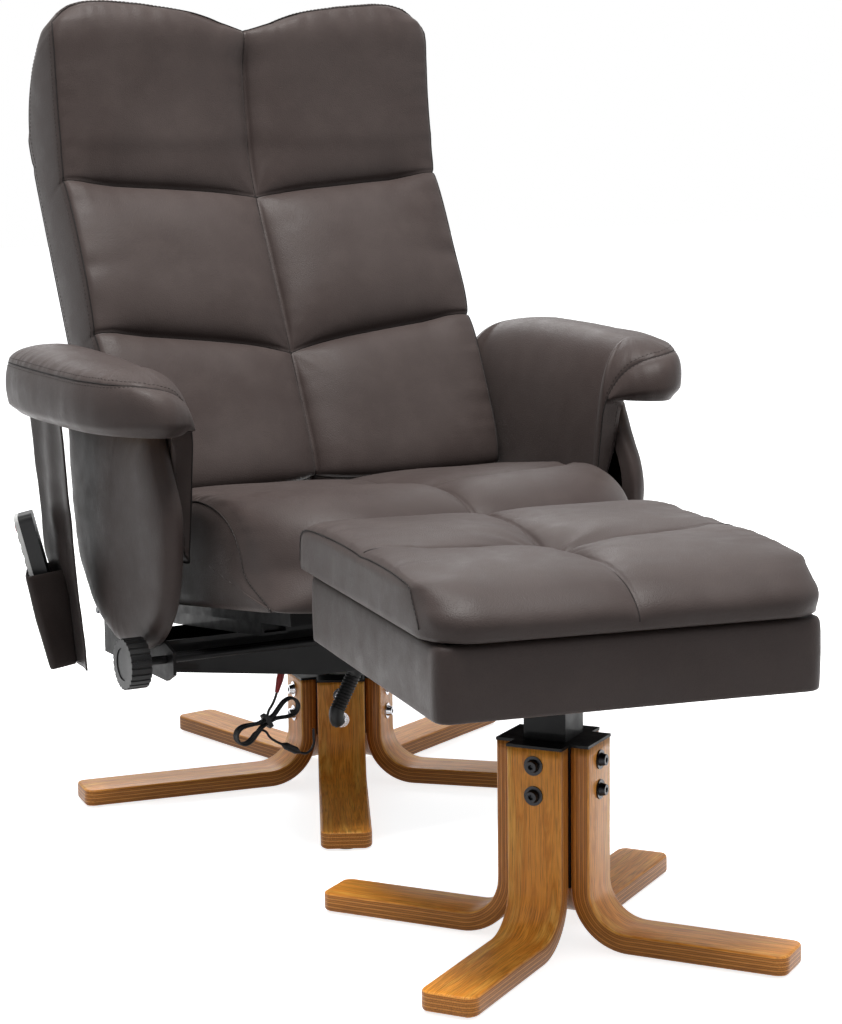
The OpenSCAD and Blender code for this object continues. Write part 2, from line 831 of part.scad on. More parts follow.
module knob() {
    face = frame_w / 2 + side_t + knob_gap;
    color("#232426") translate([face, -rod_ahead, frame_z + rod_rise]) rotate([0, 90, 0]) difference() {
        cylinder(r = knob_r, h = knob_t);
        translate([0, 0, -over]) cylinder(r = rod_r + running, h = rod_bite + over + gap);
        translate([0, 0, knob_t - dish_d]) cylinder(r = dish_r, h = dish_d + over);
        ring_of(knob_flutes, 0) translate([knob_r, 0, -over])
            cylinder(r = flute_r, h = knob_t + 2 * over, $fn = 16);
    }
}

module control_box() {
    corner = [control_x - control_size[0] / 2, control_y - control_size[1] / 2, frame_z + sheet_t];
    color("#2b2b2d") translate(corner) difference() {
        cube(control_size);
        translate([port_x, -over, port_z]) cube(port_size);
    }
}

// Remote pouch and remote control

module at_pouch() {
    translate([-pouch_x, pouch_y, arm_z - gap]) rotate([0, 0, -pouch_turn]) rotate([0, -pouch_tilt, 0])
        children();
}

// A strap under the arm with a wedge-shaped pocket on its outer face
module remote_pouch() {
    mouth_x = mouth_d + over * tan(wedge);
    color("#453b38") at_pouch() difference() {
        union() {
            translate([0, -pouch_w / 2 - strap_front, -pouch_len])
                cube([cloth_t, pouch_w + strap_front, pouch_len]);
            along_y(-pouch_w / 2, pouch_w / 2) polygon([[cloth_t / 2, -pouch_len],
                [cloth_t / 2, -mouth_drop], [-mouth_d - cloth_t, -mouth_drop],
                [-foot_d - cloth_t, -pouch_len]]);
        }
        along_y(cloth_t - pouch_w / 2, pouch_w / 2 - cloth_t) polygon([[0, cloth_t - pouch_len],
            [0, over - mouth_drop], [-mouth_x, over - mouth_drop], [-foot_d, cloth_t - pouch_len]]);
    }
}

module at_remote() {
    at_pouch() translate([-gap, remote_shift, remote_low]) rotate([0, -wedge, 0])
        translate([-remote_t / 2, 0, 0]) children();
}

module remote_body_2d() {
    polygon(round_box(-remote_w / 2, remote_w / 2, 0, remote_len, remote_w * remote_corner_shares));
}

module button_places(k) {
    at_remote() translate([-remote_t / 2, 0, remote_len - button_first - k * button_step])
        rotate([0, -90, 0]) children();
}

module remote_case() {
    color("#1b1b1d") difference() {
        at_remote() along_x(face_t - remote_t / 2, remote_t / 2) remote_body_2d();
        for (k = [0 : button_count - 1]) button_places(k) translate([0, 0, -face_t - button_h])
            cylinder(r = button_stem_r + gap, h = button_h + over);
    }
}

module remote_face() {
    color("#d9d9d6") difference() {
        at_remote() along_x(-remote_t / 2, face_t - remote_t / 2) remote_body_2d();
        for (k = [0 : button_count - 1]) button_places(k) translate([0, 0, -face_t - over])
            cylinder(r = button_r + gap, h = face_t + 2 * over);
    }
}

module button(k, tint) {
    color(tint) button_places(k) {
        translate([0, 0, gap + button_travel - face_t])
            cylinder(r = button_r, h = face_t + button_h - 2 * button_travel);
        translate([0, 0, gap - face_t]) cylinder(r = button_stem_r, h = face_t);
    }
}

// Massage lead

function along(p, i) = i == 0 ? p[1] - p[0] : i == len(p) - 1 ? p[i] - p[i - 1] : p[i + 1] - p[i - 1];
function unit(v) = v / norm(v);

// Open smooth curve through the points
function smooth_route(p) = concat([for (i = [0 : len(p) - 2], j = [0 : route_steps - 1])
    spline(p[max(i - 1, 0)], p[i], p[i + 1], p[min(i + 2, len(p) - 1)], j / route_steps)], [p[len(p) - 1]]);

// Tube swept along a route in planes square to it
module swept(route, r) {
    p = smooth_route(route);
    rings = [for (i = [0 : len(p) - 1])
        let (t = unit(along(p, i)), u = unit(cross(t, [0, 1, 0])), v = cross(t, u))
        for (k = [0 : lead_sides - 1]) let (a = k * 360 / lead_sides) p[i] + r * (cos(a) * u + sin(a) * v)];
    last = (len(p) - 1) * lead_sides;
    faces = concat([[for (k = [0 : lead_sides - 1]) k]], [[for (k = [lead_sides - 1 : -1 : 0]) last + k]],
        [for (i = [0 : len(p) - 2], k = [0 : lead_sides - 1]) let (n = (k + 1) % lead_sides)
            [i * lead_sides + k, (i + 1) * lead_sides + k, (i + 1) * lead_sides + n, i * lead_sides + n]]);
    polyhedron(points = rings, faces = faces);
}

module massage_lead() {
    color("#141414") {
        swept(route_down, lead_r);
        swept(route_mid, lead_r);
        swept(route_up, lead_r);
    }
}

// Turns +Z towards the second of two points in a plane of constant Y
module aimed(from, to) {
    translate(from) rotate([0, atan2(to[0] - from[0], to[2] - from[2]), 0]) children();
}

module lead_boot() {
    length = norm(boot_tip - boot_top);
    color("#8a1518") aimed(boot_top, boot_tip)
        rotate_extrude() polygon(placed(boot_shares, [0, 0], [boot_r, length]));
}

module lead_hank() {
    half = hank_len / 2 - hank_w / 2;
    color("#141414") translate(hank_at) rotate([0, -hank_tilt, 0])
        along_y(-hank_t / 2, hank_t / 2) difference() {
            union() for (s = [-1, 1]) bar_2d([s * half, 0], [0, 0], hank_w / 2, hank_t / 2);
            square([tie_w, 2 * hank_t], center = true);
        }
}

module hank_tie() {
    color("#101010") translate(hank_at) rotate([0, -hank_tilt, 0])
        cube([tie_w, hank_t + 2 * tie_t, hank_t + 2 * tie_t], center = true);
}

module lead_connector() {
    length = norm(connector_right - connector_left);
    color("#161617") aimed(connector_left, connector_right)
        rotate_extrude() polygon(placed(connector_shares, [0, 0], [connector_r, length]));
}

module conduit() {
    pitch = conduit_len / conduit_rings;
    rise = conduit_r - conduit_root_r;
    rib = concat([[0, 0]], [for (i = [0 : conduit_rings - 1], s = rib_shares)
        [conduit_root_r + s[1] * rise, (i + s[0]) * pitch]],
        [[conduit_root_r, conduit_len], [0, conduit_len]]);
    color("#19191a") translate([conduit_top_x, conduit_y, frame_z - collar_h]) {
        cylinder(r = collar_r, h = collar_h);
        translate([0, 0, collar_h / 2]) rotate([0, 180 + conduit_lean, 0]) {
            rotate_extrude() polygon(rib);
            translate([-elbow_r, 0, conduit_len]) rotate([90, 0, 0]) rotate_extrude(angle = elbow_turn)
                translate([elbow_r, 0]) circle(conduit_r);
            translate([-elbow_r, 0, conduit_len]) rotate([0, -elbow_turn, 0]) translate([elbow_r, 0, 0])
                cylinder(r = mouth_r, h = mouth_r / 2);
        }
    }
}

// Seat

module seat_ear(pin_y, slot_z) {
    slot_half = drive_r * (1 - cos(half_recline)) / 2 + slot_spare;
    difference() {
        union() {
            translate([ear_x, pin_y - ear_half, seat_frame_z])
                cube([ear_t, 2 * ear_half, slot_z - seat_frame_z]);
            translate([ear_x, pin_y, slot_z]) rotate([0, 90, 0]) cylinder(r = ear_half, h = ear_t);
        }
        translate([ear_x - over, pin_y - pin_r - gap, slot_z - slot_half])
            cube([ear_t + 2 * over, 2 * (pin_r + gap), 2 * slot_half]);
        for (s = [-1, 1]) translate([ear_x - over, pin_y, slot_z + s * slot_half]) rotate([0, 90, 0])
            cylinder(r = pin_r + gap, h = ear_t + 2 * over);
    }
}

module seat_runner() {
    side = rail_gap / 2 - rail_w / 2;
    length = rail_front + rail_back - 2 * runner_short;
    runner_z = rail_wall + (rail_h - 2 * rail_wall - runner_h) / 2;
    translate([side + rail_wall + gap, runner_short - rail_front, runner_z])
        cube([rail_w - 2 * rail_wall - 2 * gap, length, runner_h]);
    translate([rail_gap / 2 - rail_slot / 2 + gap, runner_short - rail_front, runner_z])
        cube([rail_slot - 2 * gap, length, seat_frame_z + sheet_t - runner_z]);
    translate([side, runner_short - rail_front, seat_frame_z])
        cube([seat_frame_half - side - over, length, sheet_t]);
}

module seat_frame() {
    pin_y = pivot_back + drive_r * sin(half_recline);
    slot_z = pivot_up - drive_r * (1 + cos(half_recline)) / 2;
    color("#55575b") on_slope() {
        both_sides() {
            translate([seat_frame_half - tube_w, -seat_frame_front, seat_frame_z])
                cube([tube_w, seat_frame_front + seat_frame_rear, tube_h]);
            seat_runner();
            seat_ear(pin_y, slot_z);
        }
        for (y = [-seat_frame_front, seat_bar_rear - tube_w])
            translate([over - seat_frame_half, y, seat_frame_z])
                cube([2 * seat_frame_half - 2 * over, tube_w, tube_h]);
    }
}

// One zigzag spring in the XY plane, along +Y, with its ends on its own axis
module zigzag(run, loop_r) {
    count = 2 * floor(run / (4 * loop_r));
    pitch = run / count;
    for (i = [0 : count - 1]) translate([0, (2 * i + 1) * pitch / 2, 0]) mirror([i % 2, 0, 0]) {
        translate([loop_r / 2, 0, 0]) rotate([0, 0, -90]) rotate_extrude(angle = 180, $fn = 24)
            translate([pitch / 2, 0]) circle(wire_r, $fn = 16);
        for (s = [-1, 1]) translate([i == 0 && s < 0 ? 0 : -loop_r / 2, s * pitch / 2, 0]) rotate([0, 90, 0])
            cylinder(r = wire_r, h = i == 0 && s < 0 ? loop_r / 2 : loop_r, $fn = 16);
    }
}

module seat_springs() {
    run = seat_frame_front + seat_bar_rear - tube_w;
    color("#77797d") on_slope() for (i = [0 : seat_spring_count - 1])
        translate([(i - (seat_spring_count - 1) / 2) * seat_spring_step, tube_w / 2 - seat_frame_front,
            seat_frame_z + tube_h + wire_r]) zigzag(run, seat_loop_r);
}

module seat_motor_places() {
    on_slope() for (share = seat_motor_shares)
        translate([0, -seat_frame_front * share, seat_frame_z + tube_h + 2 * wire_r]) children();
}

module seat_motors() {
    color("#3a3a3c") seat_motor_places() motor();
}

module motor() {
    cylinder(r = motor_r, h = motor_h * motor_body_share);
    cylinder(r = motor_r * motor_dome_share, h = motor_h);
    ring_of(3, 0) translate([motor_r, 0, 0]) cylinder(r = foot_r, h = motor_h * motor_foot_share);
}

module motor_room(play) {
    translate([0, 0, -play]) cylinder(r = motor_r + foot_r + play, h = motor_h + 2 * play);
}

module seat_cushion() {
    half = seat_w / 2;
    start = [-seat_front, cushion_low];
    size = [seat_front + seat_rear, seat_t];
    pocket = seat_frame_z + tube_h + 2 * wire_r + snug;
    color("#4a403d") difference() {
        on_slope() intersection() {
            translate([0, 0, cushion_low]) linear_extrude(seat_t)
                polygon(round_box(-half, half, -seat_front, seat_rear,
                    [seat_corner, seat_corner, seat_side_r, seat_side_r]));
            along_x(-half, half) polygon(placed(seat_shares, start, size));
            along_y(-seat_front, seat_rear)
                polygon(round_box(-half, half, cushion_low, cushion_low + seat_t,
                    seat_side_r * seat_edge_shares));
        }
        on_slope() translate([-seat_frame_half - snug, -seat_frame_front - snug, 0])
            cube([2 * (seat_frame_half + snug), seat_frame_front + seat_rear + over, pocket]);
        seat_motor_places() motor_room(snug);
        on_slope() {
            groove_over(placed(seat_seam_shares, start, size));
            translate([0, seat_rear - seat_cross_share * size[0], cushion_low + seat_t])
                rotate([-90, 0, 0]) groove(-seat_w, seat_w, groove_d);
        }
    }
}

// Back

module back_front_2d() {
    half = back_w / 2;
    right = placed(outline_shares, [0, -back_low], [half, back_h]);
    polygon(concat(right, [for (i = [len(right) - 2 : -1 : 0]) [-right[i][0], right[i][1]]]));
}

function back_points(shares) = placed(flipped(shares), [-back_foam, -back_low], [back_t, back_h]);

module back_profile_2d() {
    polygon(concat(back_points(front_shares), back_points(rear_shares)));
}

module split_2d(front) {
    far = front ? -back_h : back_h;
    edge = back_points(split_shares);
    low = edge[0][1] - over;
    polygon(concat(edge, [[far, edge[len(edge) - 1][1]], [far, low], [edge[0][0], low]]));
}

module back_half(front) {
    p = cavity_half;
    difference() {
        intersection() {
            along_y(-back_h, back_h) back_front_2d();
            along_x(-back_w / 2, back_w / 2) intersection() {
                back_profile_2d();
                split_2d(front);
            }
        }
        along_x(-p, p) polygon(back_points(cavity_shares));
        translate([-back_w, 0, 0]) rotate([0, 90, 0]) cylinder(r = bush_r + pocket_play, h = 2 * back_w);
        both_sides() along_x(link_x - pocket_play, link_x + link_t + pocket_play) link_2d(pocket_play);
    }
}

// Stitched seams of the back: one down the middle and two that drop towards it
module back_seams() {
    half = back_w / 2;
    groove_over(back_points([for (i = [front_first : len(front_shares) - 1]) front_shares[i]]));
    both_sides() for (s = back_seam_shares)
        translate([0, -back_foam, s[1] * back_h - back_low])
            rotate([0, -atan2((s[0] - s[1]) * back_h, half), 0]) groove(over, 2 * half, groove_d);
}

module back_cushion() {
    color("#4a403d") at_back() difference() {
        back_half(true);
        back_seams();
    }
}

module back_cover() {
    color("#403734") at_back() back_half(false);
}

// The frame's upright leans forward at the head
module at_head() {
    translate([0, frame_y - head_bend_r, upright_h]) rotate([head_turn, 0, 0])
        translate([0, head_bend_r, 0]) children();
}

function drive_pin() = drive_r * [sin(drive_a), -cos(drive_a)];

// Outline of a link plate, grown by a play: three eyes and two webs
module link_2d(play) {
    low = [frame_y, cross_low];
    circle(link_r + play);
    for (q = [drive_pin(), low]) {
        translate(q) circle(eye_r + play);
        web_2d([0, 0], q, link_r + play, eye_r + play);
    }
}

module back_upright() {
    translate([upright_x, frame_y, -upright_low]) cylinder(r = upright_r, h = upright_h + upright_low);
    translate([upright_x, frame_y - head_bend_r, upright_h]) rotate([90, 0, 90])
        rotate_extrude(angle = head_turn) translate([head_bend_r, 0]) circle(upright_r);
    at_head() translate([upright_x, 0, 0]) cylinder(r = cross_r, h = head_len);
    at_head() translate([upright_x - head_corner_r, 0, head_len]) rotate([90, 0, 0])
        rotate_extrude(angle = 90) translate([head_corner_r, 0]) circle(cross_r);
}

module back_frame() {
    pin = drive_pin();
    color("#3b3c40") at_back() {
        both_sides() {
            back_upright();
            difference() {
                along_x(link_x, link_x + link_t) link_2d(0);
                translate([link_x - over, 0, 0]) rotate([0, 90, 0])
                    cylinder(r = pivot_r + running, h = link_t + 2 * over);
            }
            translate([ear_x - link_t, pin[0], pin[1]]) rotate([0, 90, 0])
                cylinder(r = pin_r, h = link_x - ear_x + 3 * link_t / 2);
        }
        at_head() translate([head_corner_r - upright_x, 0, head_len + head_corner_r]) rotate([0, 90, 0])
            cylinder(r = cross_r, h = 2 * (upright_x - head_corner_r));
        for (z = [cross_low, cross_mid, cross_high]) translate([-upright_x, frame_y, z]) rotate([0, 90, 0])
            cylinder(r = cross_r, h = 2 * upright_x);
    }
}

module back_springs() {
    color("#77797d") at_back() for (i = [0 : back_spring_count - 1])
        translate([(i - (back_spring_count - 1) / 2) * back_spring_step, frame_y - cross_r - wire_r,
            cross_low]) rotate([90, 0, 0]) zigzag(cross_high - cross_low, back_loop_r);
}

module back_motor_places() {
    at_back() for (x = [-1, 1], z = [cross_low + motor_r, cross_mid, cross_high - motor_r])
        translate([x * back_spring_step, frame_y - cross_r - 2 * wire_r, z]) rotate([90, 0, 0]) children();
}

module back_motors() {
    color("#3a3a3c") back_motor_places() motor();
}

module heat_pad() {
    color("#6b2f2b") at_back() translate([-pad_half, cavity_front * back_t - back_foam, cross_low])
        cube([2 * pad_half, pad_t, cross_mid - cross_low]);
}

module pivot_pins() {
    p = pivot_place();
    color("#b5b7bb") both_sides() translate([link_x - screw_head_h, p[1], p[2]]) rotate([0, 90, 0]) {
        cylinder(r = pivot_r, h = frame_w / 2 + board_t - link_x + screw_head_h);
        cylinder(r = bush_r, h = screw_head_h);
    }
}

// Footstool

module stool_hub() {
    color("#1c1c1e") at_stool() difference() {
        hub(stool_hub_r, stool_top, stool_count, stool_start, bolt_r);
        translate([0, 0, hub_low + over]) rotate([0, 0, stool_start])
            translate([-stool_post / 2, -stool_post / 2, 0]) cube([stool_post, stool_post, stool_top]);
    }
}

module stool_legs() {
    at_stool() ring_of(stool_count, stool_start) bent_leg(stool_hub_r, stool_reach, stool_top);
}

module stool_bolts() {
    color("#1a1a1a") at_stool() rotate([0, 0, stool_start])
        leg_bolts(stool_hub_r, stool_top, stool_count, stool_bolt_end);
}

module stool_glides() {
    at_stool() glides(stool_reach, stool_count, stool_start);
}

module stool_post_tube() {
    low = stool_top - bolt_drop - bolt_step - 2 * washer_r;
    color("#26282b") at_stool() {
        rotate([0, 0, stool_start]) translate([-stool_post / 2, -stool_post / 2, low]) difference() {
            cube([stool_post, stool_post, box_z - plate_t - low]);
            translate([sheet_t, sheet_t, -over])
                cube([stool_post - 2 * sheet_t, stool_post - 2 * sheet_t, box_z - low + over]);
        }
        translate([0, 0, box_z - plate_t]) difference() {
            translate([-plate_side / 2, -plate_side / 2, 0]) cube([plate_side, plate_side, plate_t]);
            for (x = [-1, 1], y = [-1, 1]) translate([x * screw_place, y * screw_place, -over])
                cylinder(r = plate_screw_r, h = plate_t + 2 * over);
        }
    }
}

module box_outline(inset) {
    r = box_corner - min(inset, box_corner / 2);
    polygon(round_box(inset - box_w / 2, box_w / 2 - inset, inset - box_d / 2, box_d / 2 - inset,
        [r, r, r, r]));
}

module storage_box() {
    color("#4a403d") at_stool() translate([0, 0, box_z]) difference() {
        linear_extrude(box_h) box_outline(0);
        translate([0, 0, box_floor]) linear_extrude(box_h) box_outline(box_wall);
    }
}

module knuckle(y, length) {
    translate([hinge_x, y, hinge_z]) rotate([90, 0, 0]) difference() {
        translate([0, 0, -length / 2]) cylinder(r = knuckle_r, h = length);
        translate([0, 0, -length / 2 - over]) cylinder(r = hinge_pin_r + running, h = length + 2 * over);
    }
}

module box_hinges() {
    third = leaf_len / 3;
    color("#b8b9bc") at_stool() for (s = [-1, 1]) {
        for (k = [-1, 1]) {
            knuckle(s * hinge_spread + k * third, third - gap);
            translate([box_w / 2, s * hinge_spread + k * third - third / 2 + gap / 2, 0]) {
                translate([0, 0, hinge_z - leaf_drop]) cube([leaf_t, third - gap, leaf_drop]);
                translate([0, 0, hinge_z - leaf_t]) cube([knuckle_r, third - gap, leaf_t]);
            }
        }
        translate([hinge_x, s * hinge_spread + leaf_len / 2, hinge_z]) rotate([90, 0, 0])
            cylinder(r = hinge_pin_r, h = leaf_len);
    }
}

module lid_hinges() {
    third = leaf_len / 3;
    low = box_z + box_h + lid_gap - leaf_t;
    color("#b8b9bc") at_stool() for (s = [-1, 1]) {
        knuckle(s * hinge_spread, third - gap);
        translate([0, s * hinge_spread - third / 2 + gap / 2, 0]) {
            translate([box_w / 2 - leaf_reach, 0, low])
                cube([leaf_reach + knuckle_r + gap, third - gap, leaf_t]);
            translate([hinge_x - leaf_t / 2, 0, hinge_z + hinge_pin_r + running])
                cube([leaf_t, third - gap, low - hinge_z - hinge_pin_r]);
        }
    }
}

module lid_board() {
    color("#c9a26b") at_stool() translate([0, 0, box_z + box_h + lid_gap])
        linear_extrude(lid_t) box_outline(lid_inset);
}

module stool_cushion() {
    low = box_z + box_h + lid_gap;
    half_w = box_w / 2 + pad_over;
    half_d = box_d / 2 + pad_over;
    top = low + stool_pad_t;
    edges = stool_pad_t * pad_edge_shares;
    r = box_corner + pad_over;
    color("#4a403d") at_stool() difference() {
        intersection() {
            translate([0, 0, low]) linear_extrude(stool_pad_t)
                polygon(round_box(-half_w, half_w, -half_d, half_d, [r, r, r, r]));
            along_y(-half_d, half_d) polygon(round_box(-half_w, half_w, low, top, edges));
            along_x(-half_w, half_w) polygon(round_box(-half_d, half_d, low, top, edges));
        }
        translate([0, 0, top]) rotate([-90, 0, 0]) groove(-box_w, box_w, groove_d);
        translate([0, 0, top]) rotate([0, 0, 90]) rotate([-90, 0, 0])
            groove(-box_d, box_d, groove_d + middle_more);
        translate([0, 0, low - over]) linear_extrude(lid_t + over) box_outline(lid_inset);
        for (s = [-1, 1]) translate([box_w / 2 - leaf_reach, s * hinge_spread - leaf_len / 2, low - over])
            cube([leaf_reach + pad_over + over, leaf_len, over + gap]);
    }
}

chair_hub();
chair_leg(0);  // chair_leg_a
chair_leg(1);  // chair_leg_b
chair_leg(2);  // chair_leg_c
chair_leg(3);  // chair_leg_d
chair_leg(4);  // chair_leg_e
chair_leg_bolts();
chair_glides();
swivel_post();
swivel_bearing();
cross_frame();
side_boards();
side_panel();  // side_panel_left
mirror([1, 0, 0]) side_panel();  // side_panel_right
arm_boards();
arm_pad();  // arm_pad_left
mirror([1, 0, 0]) arm_pad();  // arm_pad_right
arm_inner();  // arm_inner_left
mirror([1, 0, 0]) arm_inner();  // arm_inner_right
slide_rails();
tension_rod();
frame_screws();
pivot_bushes();
remote_pouch();
control_box();
lead_boot();
massage_lead();
lead_hank();
hank_tie();
lead_connector();
conduit();
seat_frame();
seat_springs();
seat_cushion();
seat_motors();
back_frame();
back_springs();
back_cushion();
back_cover();
back_motors();
heat_pad();
pivot_pins();
knob();  // knob_left
mirror([1, 0, 0]) knob();  // knob_right
remote_case();
remote_face();
button(0, "#c03030");  // button_power
button(1, "#2c2c2e");  // button_heat
button(2, "#2c2c2e");  // button_mode
button(3, "#2c2c2e");  // button_speed
stool_hub();
stool_legs();
stool_bolts();
stool_glides();
stool_post_tube();
storage_box();
box_hinges();
lid_board();
lid_hinges();
stool_cushion();
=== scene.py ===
import math
import bmesh
import bpy
import numpy as np
from mathutils import Matrix, Vector


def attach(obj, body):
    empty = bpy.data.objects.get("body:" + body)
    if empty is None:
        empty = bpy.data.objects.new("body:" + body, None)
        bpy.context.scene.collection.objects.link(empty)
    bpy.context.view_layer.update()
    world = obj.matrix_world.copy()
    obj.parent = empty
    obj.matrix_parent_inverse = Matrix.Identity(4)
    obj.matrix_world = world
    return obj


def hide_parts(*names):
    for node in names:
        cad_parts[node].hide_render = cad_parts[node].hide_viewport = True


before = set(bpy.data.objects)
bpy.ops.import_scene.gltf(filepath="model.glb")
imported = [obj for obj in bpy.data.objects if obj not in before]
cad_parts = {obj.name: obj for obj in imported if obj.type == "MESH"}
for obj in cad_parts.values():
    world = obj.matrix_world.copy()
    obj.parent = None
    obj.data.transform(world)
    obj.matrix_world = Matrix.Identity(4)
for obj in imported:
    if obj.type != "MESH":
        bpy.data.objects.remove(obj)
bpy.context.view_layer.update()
D = bpy.data

# ---------------- camera, solved from the photograph's view

CAMERA_AT = (-1.3796, -2.787, 0.8296)
FOCAL_LENGTH, SENSOR = 87.05, 36.0
yaw, pitch, roll = math.radians(28.3), math.radians(8.9), math.radians(0.7)
fwd = np.array([math.sin(yaw) * math.cos(pitch), math.cos(yaw) * math.cos(pitch), -math.sin(pitch)])
level = np.array([math.cos(yaw), -math.sin(yaw), 0.0])
upright = np.cross(level, fwd)
right = level * math.cos(roll) - upright * math.sin(roll)
up = level * math.sin(roll) + upright * math.cos(roll)
cam_data = D.cameras.new("camera")
cam_data.sensor_width = SENSOR
cam_data.lens = FOCAL_LENGTH
cam = D.objects.new("camera", cam_data)
bpy.context.scene.collection.objects.link(cam)
m = Matrix.Identity(4)
for i in range(3):
    m[i][0], m[i][1], m[i][2], m[i][3] = right[i], up[i], -fwd[i], CAMERA_AT[i]
cam.matrix_world = m
bpy.context.scene.camera = cam

# ---------------- frames of the chair, in millimetres


def frame_of(rotation, origin):
    r, o = np.array(rotation, float), np.array(origin, float)
    return lambda p: np.asarray(p, float) @ r.T + o


def cos_sin(degrees):
    return math.cos(math.radians(degrees)), math.sin(math.radians(degrees))


BACK_LEAN, SEAT_TILT, STOOL_TURN, POUCH_TILT, POUCH_TURN = 26, 6.7, -9.7, 4, 22
STOOL_AT = (-100, -689, 0)
cb, sb = cos_sin(BACK_LEAN)
cs, ss = cos_sin(SEAT_TILT)
ct, st = cos_sin(STOOL_TURN)
cp, sp = cos_sin(POUCH_TILT)
cq, sq = cos_sin(POUCH_TURN)
WORLD = frame_of(np.eye(3), (0, 0, 0))
BACK = frame_of([[1, 0, 0], [0, cb, sb], [0, -sb, cb]], (0, 74.805, 399.52))
SLOPE = frame_of([[1, 0, 0], [0, cs, ss], [0, -ss, cs]], (0, 0, 217))
STOOL = frame_of([[ct, -st, 0], [st, ct, 0], [0, 0, 1]], STOOL_AT)
POUCH = frame_of([[cp, 0, -sp], [0, 1, 0], [sp, 0, cp]], (-375, 38, 486.6))

# ---------------- number helpers


def lattice(ix, iy, iz, seed):
    n = (ix * 374761393 + iy * 668265263 + iz * 1442695041 + seed * 974634777) & 0xFFFFFFFF
    n = ((n ^ (n >> 13)) * 1274126177) & 0xFFFFFFFF
    n = (n ^ (n >> 16)) & 0xFFFF
    return n / 32767.5 - 1.0


def noise(p, scale, seed):
    """Smooth noise in -1..1 at points of 3 coordinates."""
    p = np.asarray(p, float) / scale
    i = np.floor(p).astype(np.int64)
    f = p - i
    f = f * f * f * (f * (f * 6 - 15) + 10)
    out = 0
    for a in (0, 1):
        for b in (0, 1):
            for c in (0, 1):
                w = (f[..., 0] if a else 1 - f[..., 0]) * (f[..., 1] if b else 1 - f[..., 1])
                w = w * (f[..., 2] if c else 1 - f[..., 2])
                out = out + w * lattice(i[..., 0] + a, i[..., 1] + b, i[..., 2] + c, seed)
    return out


def ripple(t, wave, seed):
    """Noise along one coordinate given as an array of any shape."""
    t = np.asarray(t, float)
    q = np.stack([t, np.full_like(t, 0.37), np.zeros_like(t)], -1)
    return 0.7 * noise(q, wave, seed) + 0.45 * noise(q, wave * 0.53, seed + 7)


def pucker(t, d, amp, wave, reach, seed):
    """Gathers square to a seam: t along it, d from it."""
    return amp * ripple(t, wave, seed) * np.exp(-d / reach) * (1 - np.exp(-d / 3.0))


def crown(a, n, m):
    """Puffed profile: 0 at a = 0, 1 at a = 1, n for its flatness and m for the steepness of its foot."""
    return np.clip(1 - np.clip(1 - a, 0, 1) ** n, 0, 1) ** (1 / m)


def smooth(x, a, b):
    t = np.clip((np.asarray(x, float) - a) / (b - a), 0, 1)
    return t * t * (3 - 2 * t)


def spline(points, n, closed=False):
    """n + 1 points (n if closed) evenly along a Catmull-Rom curve through the points."""
    p = np.array(points, float)
    k = len(p)
    dense = []
    for i in range(k if closed else k - 1):
        if closed:
            a, b, c, d = p[(i - 1) % k], p[i], p[(i + 1) % k], p[(i + 2) % k]
        else:
            a, b, c, d = p[max(i - 1, 0)], p[i], p[i + 1], p[min(i + 2, k - 1)]
        for t in np.linspace(0, 1, 16, endpoint=False):
            dense.append((2 * b + (c - a) * t + (2 * a - 5 * b + 4 * c - d) * t * t
                          + (3 * b - a - 3 * c + d) * t ** 3) / 2)
    dense.append(p[0] if closed else p[-1])
    return even(np.array(dense), n, closed)


def even(dense, n, closed=False):
    length = np.r_[0, np.cumsum(np.linalg.norm(np.diff(dense, axis=0), axis=1))]
    at = np.linspace(0, length[-1], n + 1)
    out = np.stack([np.interp(at, length, dense[:, k]) for k in range(dense.shape[1])], -1)
    return out[:-1] if closed else out


def round_rect(half_x, half_y, radius, step):
    """Counter-clockwise outline of a rectangle round the origin with rounded corners."""
    pts = []
    for sx, sy, start in ((1, 1, 180), (-1, 1, 270), (-1, -1, 0), (1, -1, 90)):
        for k in range(9):
            a = math.radians(start + k * 90 / 8)
            pts.append((-sx * half_x + sx * radius + radius * math.cos(a),
                        -sy * half_y + sy * radius + radius * math.sin(a)))
    pts = np.array(pts + [pts[0]])
    total = np.linalg.norm(np.diff(pts, axis=0), axis=1).sum()
    return even(pts, int(total / step), True)


def outward(loop):
    """Unit outward directions of a counter-clockwise closed 2D loop."""
    t = np.roll(loop, -1, axis=0) - np.roll(loop, 1, axis=0)
    n = np.stack([t[:, 1], -t[:, 0]], -1)
    return n / np.maximum(np.linalg.norm(n, axis=1, keepdims=True), 1e-9)


def at_height(loop, z):
    return np.concatenate([loop, np.full((len(loop), 1), z)], 1)


def grid_normals(p):
    """Unit normals of a grid of points, rows by columns."""
    a = np.gradient(p, axis=0)
    b = np.gradient(p, axis=1)
    n = np.cross(b, a)
    return n / np.maximum(np.linalg.norm(n, axis=-1, keepdims=True), 1e-9)


# ---------------- mesh helpers


